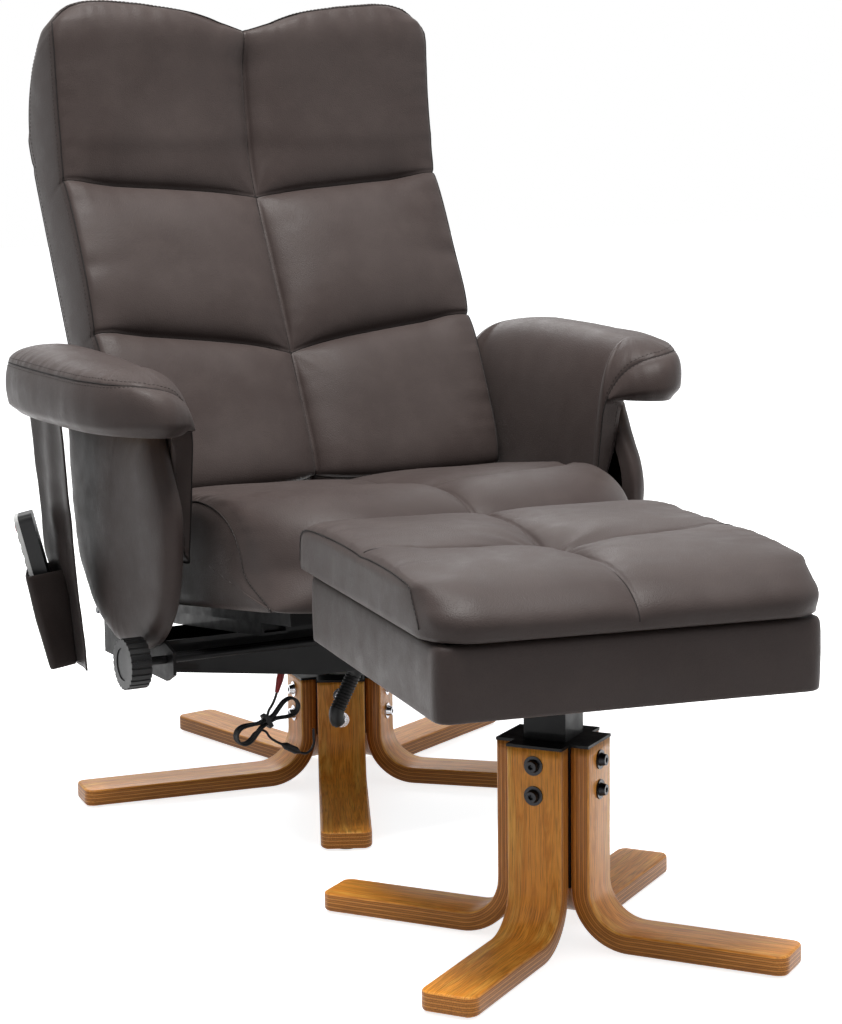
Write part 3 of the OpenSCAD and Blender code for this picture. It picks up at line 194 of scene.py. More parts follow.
class Build:
    """Collects grids and loops of points in millimetres, then makes one object of them."""

    def __init__(self):
        self.v, self.f, self.count = [], [], 0

    def add(self, p):
        p = np.asarray(p, float).reshape(-1, 3)
        ids = np.arange(self.count, self.count + len(p))
        self.v.append(p)
        self.count += len(p)
        return ids

    def grid(self, p, flip=False, wrap=False):
        rows, cols = p.shape[:2]
        ids = self.add(p).reshape(rows, cols)
        nxt = np.roll(ids, -1, axis=1) if wrap else ids[:, 1:]
        cur = ids if wrap else ids[:, :-1]
        q = np.stack([cur[:-1], nxt[:-1], nxt[1:], cur[1:]], -1).reshape(-1, 4)
        self.f.extend((q[:, ::-1] if flip else q).tolist())
        return ids

    def cap(self, loop, flip=False):
        """Closes a loop of points with a fan round its middle."""
        ids = self.add(loop)
        mid = self.add(loop.mean(axis=0))[0]
        for a, b in zip(ids, np.roll(ids, -1)):
            self.f.append((b, a, mid) if flip else (a, b, mid))

    def make(self, name, place, material, body, hides, weld=0.05):
        """Object at its place, in metres, riding on a body and standing for the CAD nodes in hides."""
        v = place(np.concatenate(self.v)) / 1000.0
        mesh = D.meshes.new(name)
        mesh.from_pydata(v.tolist(), [], [tuple(int(i) for i in f) for f in self.f])
        obj = D.objects.new(name, mesh)
        bpy.context.scene.collection.objects.link(obj)
        tidy(obj, weld / 1000.0)
        mesh.materials.append(material)
        if hides:
            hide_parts(*hides)
        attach(obj, body)
        return obj


def tidy(obj, weld):
    bm = bmesh.new()
    bm.from_mesh(obj.data)
    if weld:
        bmesh.ops.remove_doubles(bm, verts=bm.verts, dist=weld)
    bmesh.ops.recalc_face_normals(bm, faces=bm.faces)
    for f in bm.faces:
        f.smooth = True
    bm.to_mesh(obj.data)
    bm.free()


def sweep(b, path, radius, sides=8, closed=False, caps=True):
    """Tube of one radius, or one per point, along a path."""
    p = np.asarray(path, float)
    n = len(p)
    if closed:
        t = np.roll(p, -1, axis=0) - np.roll(p, 1, axis=0)
    else:
        t = np.gradient(p, axis=0)
    t /= np.maximum(np.linalg.norm(t, axis=1, keepdims=True), 1e-9)
    u = np.cross(t[0], [0.12, 0.31, 0.94])
    u /= np.linalg.norm(u)
    rings, r = [], np.broadcast_to(np.asarray(radius, float), (n,))
    a = np.linspace(0, 2 * math.pi, sides, endpoint=False)
    for i in range(n):
        u = u - t[i] * (u @ t[i])
        u /= np.linalg.norm(u)
        w = np.cross(t[i], u)
        rings.append(p[i] + r[i] * (np.cos(a)[:, None] * u + np.sin(a)[:, None] * w))
    rings = np.array(rings)
    if closed:
        rings = np.concatenate([rings, rings[:1]])
    b.grid(rings, wrap=True)
    if caps and not closed:
        b.cap(rings[0], flip=True)
        b.cap(rings[-1])


# ---------------- materials


class Nodes:
    """Node tree of a material or a world. Inputs go by name or number, with a value or the socket to link."""

    def __init__(self, owner, clear=False):
        owner.use_nodes = True
        self.owner, self.t = owner, owner.node_tree
        if clear:
            self.t.nodes.clear()
        else:
            self.bsdf = self.t.nodes["Principled BSDF"]

    def feed(self, socket, value):
        if isinstance(value, bpy.types.NodeSocket):
            self.t.links.new(value, socket)
        else:
            socket.default_value = value

    def node(self, kind, inputs, **settings):
        n = self.t.nodes.new("ShaderNode" + kind)
        for k, v in settings.items():
            setattr(n, k, v)
        for k, v in dict(inputs).items():
            self.feed(n.inputs[k], v)
        return n

    def new(self, kind, inputs=(), **settings):
        return self.node(kind, inputs, **settings).outputs

    def set(self, **values):
        for k, v in values.items():
            self.feed(self.bsdf.inputs[k.replace("_", " ")], v)

    def coords(self, rotation=(0, 0, 0), location=(0, 0, 0), scale=(1, 1, 1)):
        point = self.new("TexCoord")["Object"]
        return self.new("Mapping", {"Vector": point, "Location": location, "Rotation": rotation, "Scale": scale},
                        vector_type="POINT")["Vector"]

    def noise(self, vec, scale, detail, rough=0.55, distortion=0.0):
        return self.new("TexNoise", {"Vector": vec, "Scale": scale, "Detail": detail, "Roughness": rough,
                                     "Distortion": distortion})[0]

    def voronoi(self, vec, scale):
        return self.new("TexVoronoi", {"Vector": vec, "Scale": scale})["Distance"]

    def ramp(self, fac, stops):
        n = self.node("ValToRGB", {"Fac": fac})
        e = n.color_ramp.elements
        while len(e) < len(stops):
            e.new(0.5)
        for el, (pos, col) in zip(e, stops):
            el.position = pos
            el.color = (col if isinstance(col, tuple) else (col, col, col)) + (1,)
        return n.outputs["Color"]

    def math(self, op, *values):
        return self.new("Math", enumerate(values), operation=op)[0]

    def span(self, fac, lo, hi, from_lo, from_hi):
        return self.new("MapRange", {"Value": fac, "From Min": from_lo, "From Max": from_hi, "To Min": lo,
                                     "To Max": hi})["Result"]

    def combine(self, *parts):
        """Vector of three values, each times its own factor."""
        return self.new("CombineXYZ", enumerate([self.math("MULTIPLY", *part) for part in parts]))[0]

    def mix(self, fac, a, b):
        """Mix of two colours, whose sockets come after those for numbers and vectors."""
        a, b = (v + (1,) if isinstance(v, tuple) else v for v in (a, b))
        return self.new("Mix", {0: fac, 6: a, 7: b}, data_type="RGBA")[2]

    def bump(self, height, strength, distance, **below):
        normal = self.new("Bump", {"Height": height, "Strength": strength, "Distance": distance, **below})["Normal"]
        self.set(Normal=normal)
        return normal


def lin(r, g, b):
    """Linear colour of an sRGB one."""
    return tuple(((c / 255) / 12.92 if c / 255 <= 0.04045 else ((c / 255 + 0.055) / 1.055) ** 2.4)
                 for c in (r, g, b))


def times(colour, factor):
    return tuple(min(c * factor, 1) for c in colour)


def leather(name, dark=1.0, grain=1.0):
    n = Nodes(D.materials.new(name))
    v = n.coords()
    big = n.noise(v, 5.0, 3.0, 0.6)
    mid = n.noise(v, 34.0, 4.0, 0.6)
    # dark scales every colour; below 1 it paints shade into the leather
    deep, usual, pale, rubbed = (times(lin(*c), dark) for c in ((54, 45, 43), (58, 50, 48), (64, 56, 54),
                                                                (76, 67, 64)))
    base = n.ramp(big, [(0.3, deep), (0.5, usual), (0.72, pale)])
    worn = n.mix(n.span(mid, 0.0, 0.22, 0.45, 0.75), base, rubbed)
    cells = n.voronoi(v, 620.0)
    creases = n.noise(v, 210.0, 5.0, 0.65, 0.4)
    pores = n.ramp(cells, [(0.0, 0.0), (0.55, 1.0)])
    # painted shade: the grain's pits, where the bump sinks, are darkened towards 0.6 of the deepest tone
    pit_shaded_tone = n.mix(n.span(cells, 0.35, 0.0, 0.0, 0.35), worn, times(deep, 0.6))
    n.bump(pores, 0.28 * grain, 0.0005, Normal=n.bump(creases, 0.25 * grain, 0.0006))
    n.set(Base_Color=pit_shaded_tone, Roughness=n.span(mid, 0.4, 0.54, 0.3, 0.7), Specular_IOR_Level=0.13, Sheen_Weight=0.03,
          Sheen_Roughness=0.5)
    return n.owner


def metal(name, colour, rough, metallic, flake=0.0, coat=0.0):
    n = Nodes(D.materials.new(name))
    v = n.coords()
    a = n.noise(v, 60.0, 4.0)
    n.bump(n.noise(v, 900.0, 2.0), 0.12 + flake, 0.0002)
    n.set(Base_Color=n.ramp(a, [(0.3, times(colour, 0.82)), (0.7, times(colour, 1.15))]),
          Roughness=n.span(a, rough * 0.82, rough * 1.2, 0.3, 0.7), Metallic=metallic, Coat_Weight=coat,
          Specular_IOR_Level=0.5 if metallic else 0.1)
    return n.owner


def plastic(name, colour, rough, speckle=0.15):
    n = Nodes(D.materials.new(name))
    v = n.coords()
    a = n.noise(v, 25.0, 4.0)
    n.bump(n.noise(v, 1400.0, 2.0), speckle, 0.0002)
    n.set(Base_Color=n.ramp(a, [(0.35, times(colour, 0.85)), (0.65, times(colour, 1.12))]),
          Roughness=n.span(a, rough * 0.85, rough * 1.15, 0.3, 0.7), Specular_IOR_Level=0.25)
    return n.owner


LEG_WIDTH, LEG_THICK, LEG_BEND, BEND_HEIGHT, SHEET, VENEER = 60.0, 20.0, 42.0, 65.0, 2.22, 1.2
CHAIR_HUB, STOOL_HUB = 42.0, 30.7


def oak(name, hub, place, fold=False):
    """Bent plywood: veneer grain along the leg and laminations on its edges, which follow the bend. With fold, four
    legs at right angles share the material."""
    n = Nodes(D.materials.new(name))
    x, y, z = n.new("SeparateXYZ", {0: n.coords(*place)})
    if fold:
        ax, ay = n.math("ABSOLUTE", x), n.math("ABSOLUTE", y)
        along = n.math("MAXIMUM", ax, ay)
        side = n.math("GREATER_THAN", ax, ay)
        # y on the legs along x, and x on those along y
        across = n.math("ADD", n.math("MULTIPLY", n.math("ADD", x, y), 0.5),
                        n.math("MULTIPLY", n.math("SUBTRACT", side, 0.5), n.math("SUBTRACT", y, x)))
    else:
        along, across = x, y
    # the bend's centre, how far a point lies from it, and so its depth in the stack of sheets
    bend = (hub + LEG_THICK + LEG_BEND) / 1000
    dx = n.math("MAXIMUM", n.math("SUBTRACT", bend, along), 0.0)
    dz = n.math("MAXIMUM", n.math("SUBTRACT", BEND_HEIGHT / 1000, z), 0.0)
    far = n.math("SQRT", n.math("ADD", n.math("MULTIPLY", dx, dx), n.math("MULTIPLY", dz, dz)))
    layer = n.math("SUBTRACT", (LEG_THICK + LEG_BEND) / 1000, far)
    run = n.math("SUBTRACT", along, z)
    rings = n.noise(n.combine((run, 5.0), (across, 60.0), (layer, 40.0)), 1.0, 4.0, 0.6, 1.2)
    fine = n.noise(n.combine((run, 30.0), (across, 900.0), (layer, 700.0)), 1.0, 3.0, 0.6)
    face = n.ramp(rings, [(0.3, lin(200, 118, 36)), (0.43, lin(250, 170, 70)), (0.52, lin(218, 136, 46)),
                          (0.7, lin(255, 194, 94))])
    face = n.mix(n.span(fine, 0.0, 0.75, 0.48, 0.72), face, lin(136, 74, 24))
    ply = n.math("GREATER_THAN", n.math("FRACT", n.math("MULTIPLY", layer, 1000 / SHEET * 0.5)), 0.5)
    in_sheet = n.math("SUBTRACT", n.math("FRACT", n.math("MULTIPLY", layer, 1000 / SHEET)), 0.5)
    glue = n.math("LESS_THAN", n.math("ABSOLUTE", in_sheet), 0.42)
    pale = n.mix(n.span(fine, 0.0, 0.7, 0.35, 0.7), lin(232, 160, 78), lin(168, 102, 40))
    deep = n.mix(n.span(fine, 0.0, 0.7, 0.35, 0.7), lin(202, 128, 54), lin(138, 80, 30))
    edge = n.mix(glue, lin(116, 66, 24), n.mix(ply, pale, deep))
    inside = n.math("MULTIPLY", n.math("GREATER_THAN", layer, VENEER / 1000),
                    n.math("LESS_THAN", layer, (LEG_THICK - VENEER) / 1000))
    n.bump(fine, 0.12, 0.0004)
    n.set(Base_Color=n.mix(inside, face, edge), Roughness=n.span(rings, 0.3, 0.42, 0.3, 0.7), Coat_Weight=0.06,
          Coat_Roughness=0.2, Specular_IOR_Level=0.2)
    return n.owner


def ply_board(name):
    n = Nodes(D.materials.new(name))
    a = n.noise(n.coords(scale=(40, 3, 3)), 3.0, 5.0, 0.6, 0.8)
    n.set(Base_Color=n.ramp(a, [(0.3, lin(168, 124, 78)), (0.5, lin(201, 162, 107)), (0.7, lin(186, 142, 90))]),
          Roughness=0.6)
    n.bump(a, 0.15, 0.0004)
    return n.owner


LEATHER = leather("leather")
# painted shade: the pouch, which hangs at the chair's side under the arm, gets the chair's leather darkened to 0.55
LEATHER_SHADED = leather("leather_pouch_shaded", 0.55, 0.8)
THREAD = plastic("thread", lin(44, 37, 35), 0.6, 0.4)
SEAM = plastic("seam", lin(26, 22, 21), 0.85, 0.2)
BLACK = metal("black_steel", lin(13, 13, 14), 0.5, 0.0, 0.05, 0.08)
GREY = metal("grey_steel", lin(96, 98, 102), 0.38, 0.9)
CHROME = metal("chrome", lin(205, 206, 210), 0.16, 1.0)
DARK_BOLT = metal("dark_bolt", lin(34, 34, 36), 0.3, 0.8)
PLASTIC = plastic("black_plastic", lin(14, 14, 15), 0.42)
RUBBER = plastic("lead_black", lin(17, 17, 18), 0.55)
NYLON = plastic("nylon", lin(225, 223, 214), 0.45)
SILVER = plastic("silver_plastic", lin(196, 197, 196), 0.3, 0.08)
RED = plastic("boot_red", lin(140, 16, 20), 0.38)
BUTTON_RED = plastic("button_red", lin(190, 40, 42), 0.4)
HEATER = plastic("heater_cloth", lin(107, 47, 43), 0.9, 0.6)
PLY = ply_board("plywood")
FELT = plastic("lining", lin(30, 28, 28), 0.95, 0.7)

finish = {
    "chair_hub": BLACK, "swivel_post": BLACK, "cross_frame": BLACK, "stool_hub": BLACK, "stool_post_tube": BLACK,
    "tension_rod": BLACK, "slide_rails": BLACK, "frame_screws": GREY, "pivot_pins": GREY, "seat_frame": BLACK,
    "back_frame": BLACK, "seat_springs": GREY, "back_springs": GREY, "box_hinges": GREY, "lid_hinges": GREY,
    "chair_leg_bolts": CHROME, "stool_bolts": DARK_BOLT, "chair_glides": PLASTIC, "stool_glides": PLASTIC,
    "swivel_bearing": NYLON, "pivot_bushes": NYLON, "control_box": PLASTIC, "seat_motors": PLASTIC,
    "back_motors": PLASTIC, "conduit": PLASTIC, "knob_left": PLASTIC, "knob_right": PLASTIC, "remote_case": PLASTIC,
    "remote_face": SILVER, "button_heat": PLASTIC, "button_mode": PLASTIC, "button_speed": PLASTIC,
    "button_power": BUTTON_RED, "lead_boot": RED, "hank_tie": RUBBER, "lead_connector": RUBBER, "heat_pad": HEATER,
    "side_boards": PLY, "arm_boards": PLY, "lid_board": PLY,
}
chair_turns = {letter: math.radians(-115.6 + 72 * k) for k, letter in enumerate("abcde")}
for letter, turn in chair_turns.items():
    finish["chair_leg_" + letter] = oak("oak_" + letter, CHAIR_HUB, ((0, 0, -turn), (0, 0, 0)))
stool_turn = math.radians(STOOL_TURN + 45)
stool_x, stool_y = STOOL_AT[0] / 1000, STOOL_AT[1] / 1000
ca, sa = math.cos(-stool_turn), math.sin(-stool_turn)
back_to_hub = (-(ca * stool_x - sa * stool_y), -(sa * stool_x + ca * stool_y), 0)
finish["stool_legs"] = oak("oak_stool", STOOL_HUB, ((0, 0, -stool_turn), back_to_hub), True)
for node, material in finish.items():
    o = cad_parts[node]
    o.data.materials.clear()
    o.data.materials.append(material)

# ---------------- legs, with the plywood's edges rounded over


def leg_cover(b, hub, reach, top, turn, edge=3.2, tip=13.0):
    """One bent leg from under its cap plate down and out to its rounded tip."""
    w, h = LEG_WIDTH / 2, LEG_THICK / 2
    inner, bend_z = LEG_BEND + h, BEND_HEIGHT
    # stations of its middle line: distance from the hub's axis, height, direction, half width, half thickness
    stations = [(hub + h, z, 0.0, -1.0, w, h) for z in np.linspace(top, bend_z, 16)]
    for a in np.radians(np.linspace(0, 90, 19)[1:]):
        stations.append((hub + h + inner - inner * math.cos(a), bend_z - inner * math.sin(a), math.sin(a),
                         -math.cos(a), w, h))
    floor_z = bend_z - inner
    stations += [(r, floor_z, 1.0, 0.0, w, h) for r in np.linspace(hub + h + inner, reach - tip, 14)[1:]]
    for a in np.radians(np.linspace(0, 90, 13)[1:]):
        ahead = tip * math.sin(a)
        over = max(ahead - (tip - edge), 0)
        stations.append((reach - tip + ahead, floor_z, 1.0, 0.0, w - tip + tip * math.cos(a),
                         h - edge + math.sqrt(max(edge ** 2 - over ** 2, 0))))
    cos_t, sin_t = math.cos(turn), math.sin(turn)
    rings = []
    for r, z, tr, tz, w, h in stations:
        e = min(edge, w, h)
        ring = []
        for sw, sh, start in ((1, 1, 0), (-1, 1, 90), (-1, -1, 180), (1, -1, 270)):
            for k in range(5):
                a = math.radians(start + k * 22.5)
                across = sw * (w - e) + e * math.cos(a)
                out = sh * (h - e) + e * math.sin(a)
                far = r - tz * out
                ring.append((far * cos_t - across * sin_t, far * sin_t + across * cos_t, z + tr * out))
        rings.append(ring)
    rings = np.array(rings)
    b.grid(rings, wrap=True)
    b.cap(rings[0], flip=True)
    b.cap(rings[-1])


for letter, turn in chair_turns.items():
    b = Build()
    leg_cover(b, CHAIR_HUB, reach=342.0, top=137.0, turn=turn)
    b.make("chair_leg_veneer_" + letter, WORLD, finish["chair_leg_" + letter], "base", ("chair_leg_" + letter,), 0.01)
b = Build()
for k in range(4):
    leg_cover(b, STOOL_HUB, reach=258.0, top=211.0, turn=math.radians(45 + 90 * k))
b.make("stool_leg_veneer", STOOL, finish["stool_legs"], "footstool", ("stool_legs",), 0.01)

# ---------------- massage lead

LEAD_RADIUS, TURN_PITCH = 1.6, 3.3
HANK_END, HANK_BEND = 34.0, 10.75
# from the boot down to the hank, from the hank to the connector, from the connector to the conduit
route_down = np.array([[-136, -100, 146], [-138, -100, 140], [-142, -100, 132], [-147, -100, 125]], float)
route_mid = np.array([[-147, -100, 91.5], [-139, -100, 85], [-130, -100, 80]], float)
route_up = np.array([[-107, -100, 67], [-99, -102, 65], [-93, -105, 70], [-91, -108, 79], [-92, -110, 88],
                     [-92, -110, 97]], float)
hc, hs = cos_sin(25)


def hank(a, b, c):
    """Point at a along the hank, b across it and c through its layers."""
    return [-150 + a * hc - b * hs, -100 + c, 112 + a * hs + b * hc]


def half_width(a):
    """The hank is narrow under its tie and widens to its ends."""
    return 1.75 + 9.0 * float(smooth(abs(a), 5, 33))


def hank_turn(sign, degrees, c):
    for d in degrees:
        ex, ey = cos_sin(d)
        path.append(hank(sign * HANK_END + HANK_BEND * ex, HANK_BEND * ey, c))


path = [list(p) for p in route_down]
path += [hank(1.6, 5.3, -0.8), hank(-8, 5.6, -3.2), hank(-18, half_width(18) + 1.0, -4.9)]
layers = [-4.95, -1.65, 1.65, 4.95]
path += [hank(-27, half_width(27), layers[0])]
for k, c in enumerate(layers):
    hank_turn(-1, range(90, 271, 30), c)
    if k == 3:
        path += [hank(-27, -half_width(27), c), hank(-19, -half_width(19) - 0.6, c)]
        break
    for a in (-27, -18, -10, 0, 10, 18, 27):
        path.append(hank(a, -half_width(a), c))
    hank_turn(1, range(-90, 91, 30), c)
    for a in (27, 18, 10, 0, -10, -18, -27):
        path.append(hank(a, half_width(a), c + TURN_PITCH * float(smooth(-a, -10, 10))))
path += [[-155.5, -95.4, 100.0], [-149.8, -96.8, 97.2]]
path += [list(p) for p in route_mid]
lead_a = spline(path, 700)
lead_b = spline(route_up, 60)
b = Build()
sweep(b, lead_a, LEAD_RADIUS)
cord_a = b.make("massage_lead_hank", WORLD, RUBBER, "swivel_frame", ("massage_lead", "lead_hank"), 0)
b = Build()
sweep(b, lead_b, LEAD_RADIUS)
cord_b = b.make("massage_lead_tail", WORLD, RUBBER, "swivel_frame", (), 0)


# ---------------- stitches


def stitches(name, lines, body, place, pitch=5.5, radius=0.55):
    """Short rounded threads along lines of points in millimetres."""
    b = Build()
    for line in lines:
        line = np.asarray(line, float)
        length = np.linalg.norm(np.diff(line, axis=0), axis=1).sum()
        count = max(int(length / pitch), 1)
        pts = even(line, count * 6)
        for k in range(count):
            sweep(b, pts[k * 6:k * 6 + 5], np.array([0.35, 0.95, 1.0, 0.95, 0.35]) * radius, 5, caps=False)
    b.make(name, place, THREAD, body, (), 0)


# ---------------- back


def table(pairs):
    xs, ys = zip(*pairs)
    return lambda t: np.interp(t, xs, ys)


HEIGHT, LOW, HALF_WIDTH = 642.0, -38.0, 268
COLUMNS, TIER_ROWS = 120, 46
# half width, front and rear (y) over the height, and the height of the top edge over the width
side_curve = ((0, 0.972), (0.1, 0.99), (0.3, 1), (0.6, 1), (0.93, 1.002), (0.965, 0.992), (0.99, 0.962), (1.01, 0.92))
back_hw = table([(LOW + HEIGHT * t, HALF_WIDTH * w) for t, w in side_curve])
top_curve = spline([(0, 0.952), (0.15, 0.963), (0.35, 0.988), (0.6, 1.003), (0.78, 1.009), (0.9, 1.005), (0.97, 0.99),
                    (1.0, 0.968)], 60)
back_top = table([(a, LOW + HEIGHT * t) for a, t in top_curve])
back_front = table(spline([(-38, -26), (0, -36), (200, -38), (390, -38), (443, -48), (488, -62), (533, -80),
                           (572, -96), (604, -101)], 80))
back_rear = table(spline([(-38, 78), (0, 84), (440, 84), (501, 72), (546, 41), (580, -8), (604, -62)], 80))


def back_rows(u):
    """Heights of the foot, the two cross seams and the top edge over the width."""
    k = np.abs(u)
    z0 = np.full_like(u, LOW)
    z1 = 184 - 37 * (1 - np.clip(k / 0.85, 0, 1)) ** 1.25
    z2 = 394 - 25 * (1 - k) ** 1.15
    return z0, z1, z2, back_top(k)


def flat_noise(x, z, wave, seed):
    return noise(np.stack([x, z, 0 * x], -1), wave, seed)


def rim(d, width):
    """How far a surface has sunk near its edge, 1 at the edge and 0 at width from it."""
    return 1 - crown(np.clip(d / width, 0, 1), 2.2, 2.0)


def back_panel():
    """Six puffed fields; rows and columns gather towards the seams, where the shape is tight."""
    u = np.linspace(-1, 1, COLUMNS + 1)
    rows = back_rows(u)
    z_list, b_list = [], []
    for j in range(3):
        for t in np.linspace(0, 1, TIER_ROWS + 1)[(1 if j else 0):]:
            t = t - 0.055 * math.sin(2 * math.pi * t)
            z_list.append(rows[j] + (rows[j + 1] - rows[j]) * t)
            b_list.append(np.full_like(u, (min(2 * (1 - t), 1), 1 - abs(2 * t - 1), min(2 * t, 1))[j]))
    z = np.array(z_list)
    bb = np.array(b_list)
    k = np.abs(u)
    u = np.sign(u) * (k - 0.05 * np.sin(2 * math.pi * k))
    x = u[None, :] * back_hw(z)
    a = np.minimum(2 * np.abs(u), 1)[None, :] + 0 * z
    edge = back_hw(z) - np.abs(x)
    top_d = np.maximum(back_top(np.abs(u))[None, :] - z, 0)
    base = np.stack([x, back_front(z), z], -1)
    n = grid_normals(base)
    n = np.where(n[..., 1:2] > 0, -n, n)
    valley = 26.0 * (0.3 + 0.7 * smooth(edge, 0, 70)) * (0.4 + 0.6 * smooth(top_d, 0, 50))
    puff = crown(a, 2.9, 2.0) * crown(bb, 2.9, 2.0)
    puff = puff * (1 + 0.05 * flat_noise(x, z, 120, 3))
    h = 5.0 * puff - valley * (1 - puff)
    h = h - 10 * rim(edge, 60) - 9 * rim(top_d, 45) - 14 * rim(z - LOW, 55)
    h = h + 2.2 * flat_noise(x, z, 95, 5) * puff
    h = h + pucker(z, edge, 3.0, 17, 24, 11) * np.where(x > 0, 1, 0.7)
    h = h + pucker(x, top_d, 2.2, 15, 20, 23)
    seam_d = np.minimum(np.abs(z - rows[1][None, :]), np.abs(z - rows[2][None, :]))
    h = h + pucker(x, seam_d, 1.1, 21, 20, 31) + pucker(z, np.abs(x), 1.1, 19, 18, 41)
    for zc, seed in ((rows[1][COLUMNS // 2], 51), (rows[2][COLUMNS // 2], 57)):
        h = h + star(x, z - zc, 1.8, 40, seed, 34, 9)
    return base + n * h[..., None], u


def star(x, y, amp, folds, seed, reach, hole):
    """Folds that run out from where two seams cross."""
    r = np.hypot(x, y)
    return amp * ripple(np.arctan2(y, x) * folds, 15, seed) * np.exp(-r / reach) * (1 - np.exp(-r / hole))


def loop_of(p):
    """The border of a grid as one loop: along the first row, up, back along the last row, down."""
    return np.concatenate([p[0, :-1], p[:-1, -1], p[-1, :0:-1], p[:0:-1, 0]])


def band(b, first, last, steps, bulge):
    """Gusset between two loops of points, bulging outwards in X and Z."""
    mid = (first + last)[:, [0, 2]] / 2
    x, z = mid.T
    out = outward(mid) * np.sign(np.sum(x * np.roll(z, -1) - np.roll(x, -1) * z))
    rings = []
    for t in np.linspace(0, 1, steps + 1):
        r = first + (last - first) * t
        r[:, [0, 2]] += out * bulge * math.sin(math.pi * t) ** 0.6
        rings.append(r)
    b.grid(np.array(rings), wrap=True)
    return rings


front, u_back = back_panel()
nv, nu = 3 * TIER_ROWS, COLUMNS
top = back_top(np.abs(u_back))[None, :]
zr = LOW + (top - LOW) * np.linspace(0, 1, nv + 1)[:, None]
xr = u_back[None, :] * back_hw(zr)
edge_r = np.minimum(np.minimum(back_hw(zr) - np.abs(xr), top - zr), zr - LOW)
yoke_seam = 455.0
yr = back_rear(zr) - 15 * rim(edge_r, 40) + 1.4 * flat_noise(xr, zr, 110, 71)
yr = yr - 5.0 * np.exp(-np.abs(zr - yoke_seam) / 3.5)
rear = np.stack([xr, yr, zr], -1)
first, last = loop_of(front), loop_of(rear)
b = Build()
b.grid(front)
gusset = band(b, first, last, 14, 6.0)
back_obj = b.make("back_cushion_cover", BACK, LEATHER, "backrest", ("back_cushion", "heat_pad"))
b = Build()
b.grid(rear, flip=True)
band(b, last, last + np.array([0, -9.0, 0]), 3, 0.0)
rear_obj = b.make("back_rear_cover", BACK, LEATHER, "backrest", ("back_cover",))
b = Build()
for line in (front[TIER_ROWS], front[2 * TIER_ROWS], front[:, COLUMNS // 2]):
    sweep(b, even(line, 160), 1.0, 6)
for line in (gusset[0], gusset[-1]):
    sweep(b, line, 0.9, 6, closed=True)
b.make("back_seam_lines", BACK, SEAM, "backrest", (), 0)
stitches("back_stitches", [gusset[k][span] for k in (1, -3) for span in
                           (slice(nu, nu + nv), slice(2 * nu + nv, None), slice(nu + nv, 2 * nu + nv))],
         "backrest", BACK)

# ---------------- seat and footstool cushions, sewn over their fronts


def wrapped(profile, half, seam, valley, crown_h, nose, seed, cols, rows, edge_roll, line_from, dimple, tuck=6.0,
            fan=3.2, edge_w=60.0):
    """Top panel that runs over a profile of (y, z) from the rear over the front, with one seam across it at a share
    of its length and one down its middle. nose is the corners' radius and the y from and to which they take it on,
    dimple the depth and reach of the hollow where the seams cross, line_from where the seams deepen, counted from
    the front edge. Returns the grid of points and the row of the seam across."""
    s = spline(profile, 400)
    length = np.linalg.norm(np.diff(s, axis=0), axis=1).sum()
    seam_row = int(round(rows * seam))
    t = np.r_[np.linspace(0, seam, seam_row + 1), np.linspace(seam, 1, rows - seam_row + 1)[1:]]
    u = np.linspace(-1, 1, cols + 1)
    k = np.abs(u)
    u = np.sign(u) * (k - 0.05 * np.sin(2 * math.pi * k))
    at = np.linspace(0, 1, 401)
    y = np.interp(t, at, s[:, 0])[:, None] + 0 * u[None, :]
    z = np.interp(t, at, s[:, 1])[:, None] + 0 * u[None, :]
    x = u[None, :] * half + 0 * y
    radius, from_y, low_y = nose
    over = np.clip(np.abs(x) - (half - radius), 0, radius * 0.985)
    shift = radius - np.sqrt(radius ** 2 - over ** 2)
    y = y + shift * smooth(-y, -from_y, -low_y) * (0.2 + 0.8 * smooth(z, 34, 90))
    base = np.stack([x, y, z], -1)
    run = np.cumsum(np.linalg.norm(np.diff(base, axis=1), axis=2), axis=1)
    run = np.concatenate([np.zeros((len(t), 1)), run], 1)
    side_d = np.minimum(run, run[:, -1:] - run)
    n = grid_normals(base)
    away = base - np.array([0, (s[:, 0].min() + s[:, 0].max()) / 2, s[:, 1].min()])
    n = np.where(np.sum(n * away, -1, keepdims=True) < 0, -n, n)
    n[..., 0] *= smooth(side_d, 0, 30)
    tt = t[:, None] * length + 0 * x
    # 0 at the seam, 1 in the middle of each field and on to the free ends
    back_share, front_share = t[:, None] / seam + 0 * tt, (1 - t[:, None]) / (1 - seam) + 0 * tt
    field = np.minimum(2 * np.where(t[:, None] < seam, 1 - back_share, 1 - front_share), 1)
    inner = np.abs(u)[None, :] < 0.5
    across = 1 - np.abs(2 * np.abs(u) - 1)[None, :] + 0 * tt
    puff = np.where(inner, crown(across, 2.9, 2.2), 1)
    edge_d = np.where(inner, 1, crown(np.clip(side_d / edge_w, 0, 1), 2.4, 2.0))
    puff = puff * (1 - (1 - crown(field, 2.9, 2.0)) * (0.25 + 0.75 * smooth(side_d, 0, 80)))
    seam_d = tt - seam * length
    deep = dimple[0] + (valley - dimple[0]) * np.exp(-(np.hypot(x, seam_d) / dimple[1]) ** 2)
    deep = deep * (0.25 + 0.75 * smooth((1 - t[:, None]) * length + 0 * tt, *line_from))
    h = -deep * (1 - puff) + crown_h * puff - edge_roll * (1 - edge_d)
    h = h + 1.4 * flat_noise(x, tt, 90, seed + 5) * puff
    h = h + pucker(tt, side_d, 2.4, 18, 24, seed + 11)
    h = h + pucker(x, np.abs(seam_d), 1.5, 22, 24, seed + 31)
    h = h + pucker(tt, np.abs(x), 1.2, 21, 18, seed + 41)
    h = h + star(x, seam_d, fan, 36, seed + 51, 52, 8)
    fade = smooth(t, 0, 0.04)[:, None] * smooth(-t, -1, -0.96)[:, None]
    return base + n * (h * fade - tuck * (1 - fade))[..., None], seam_row


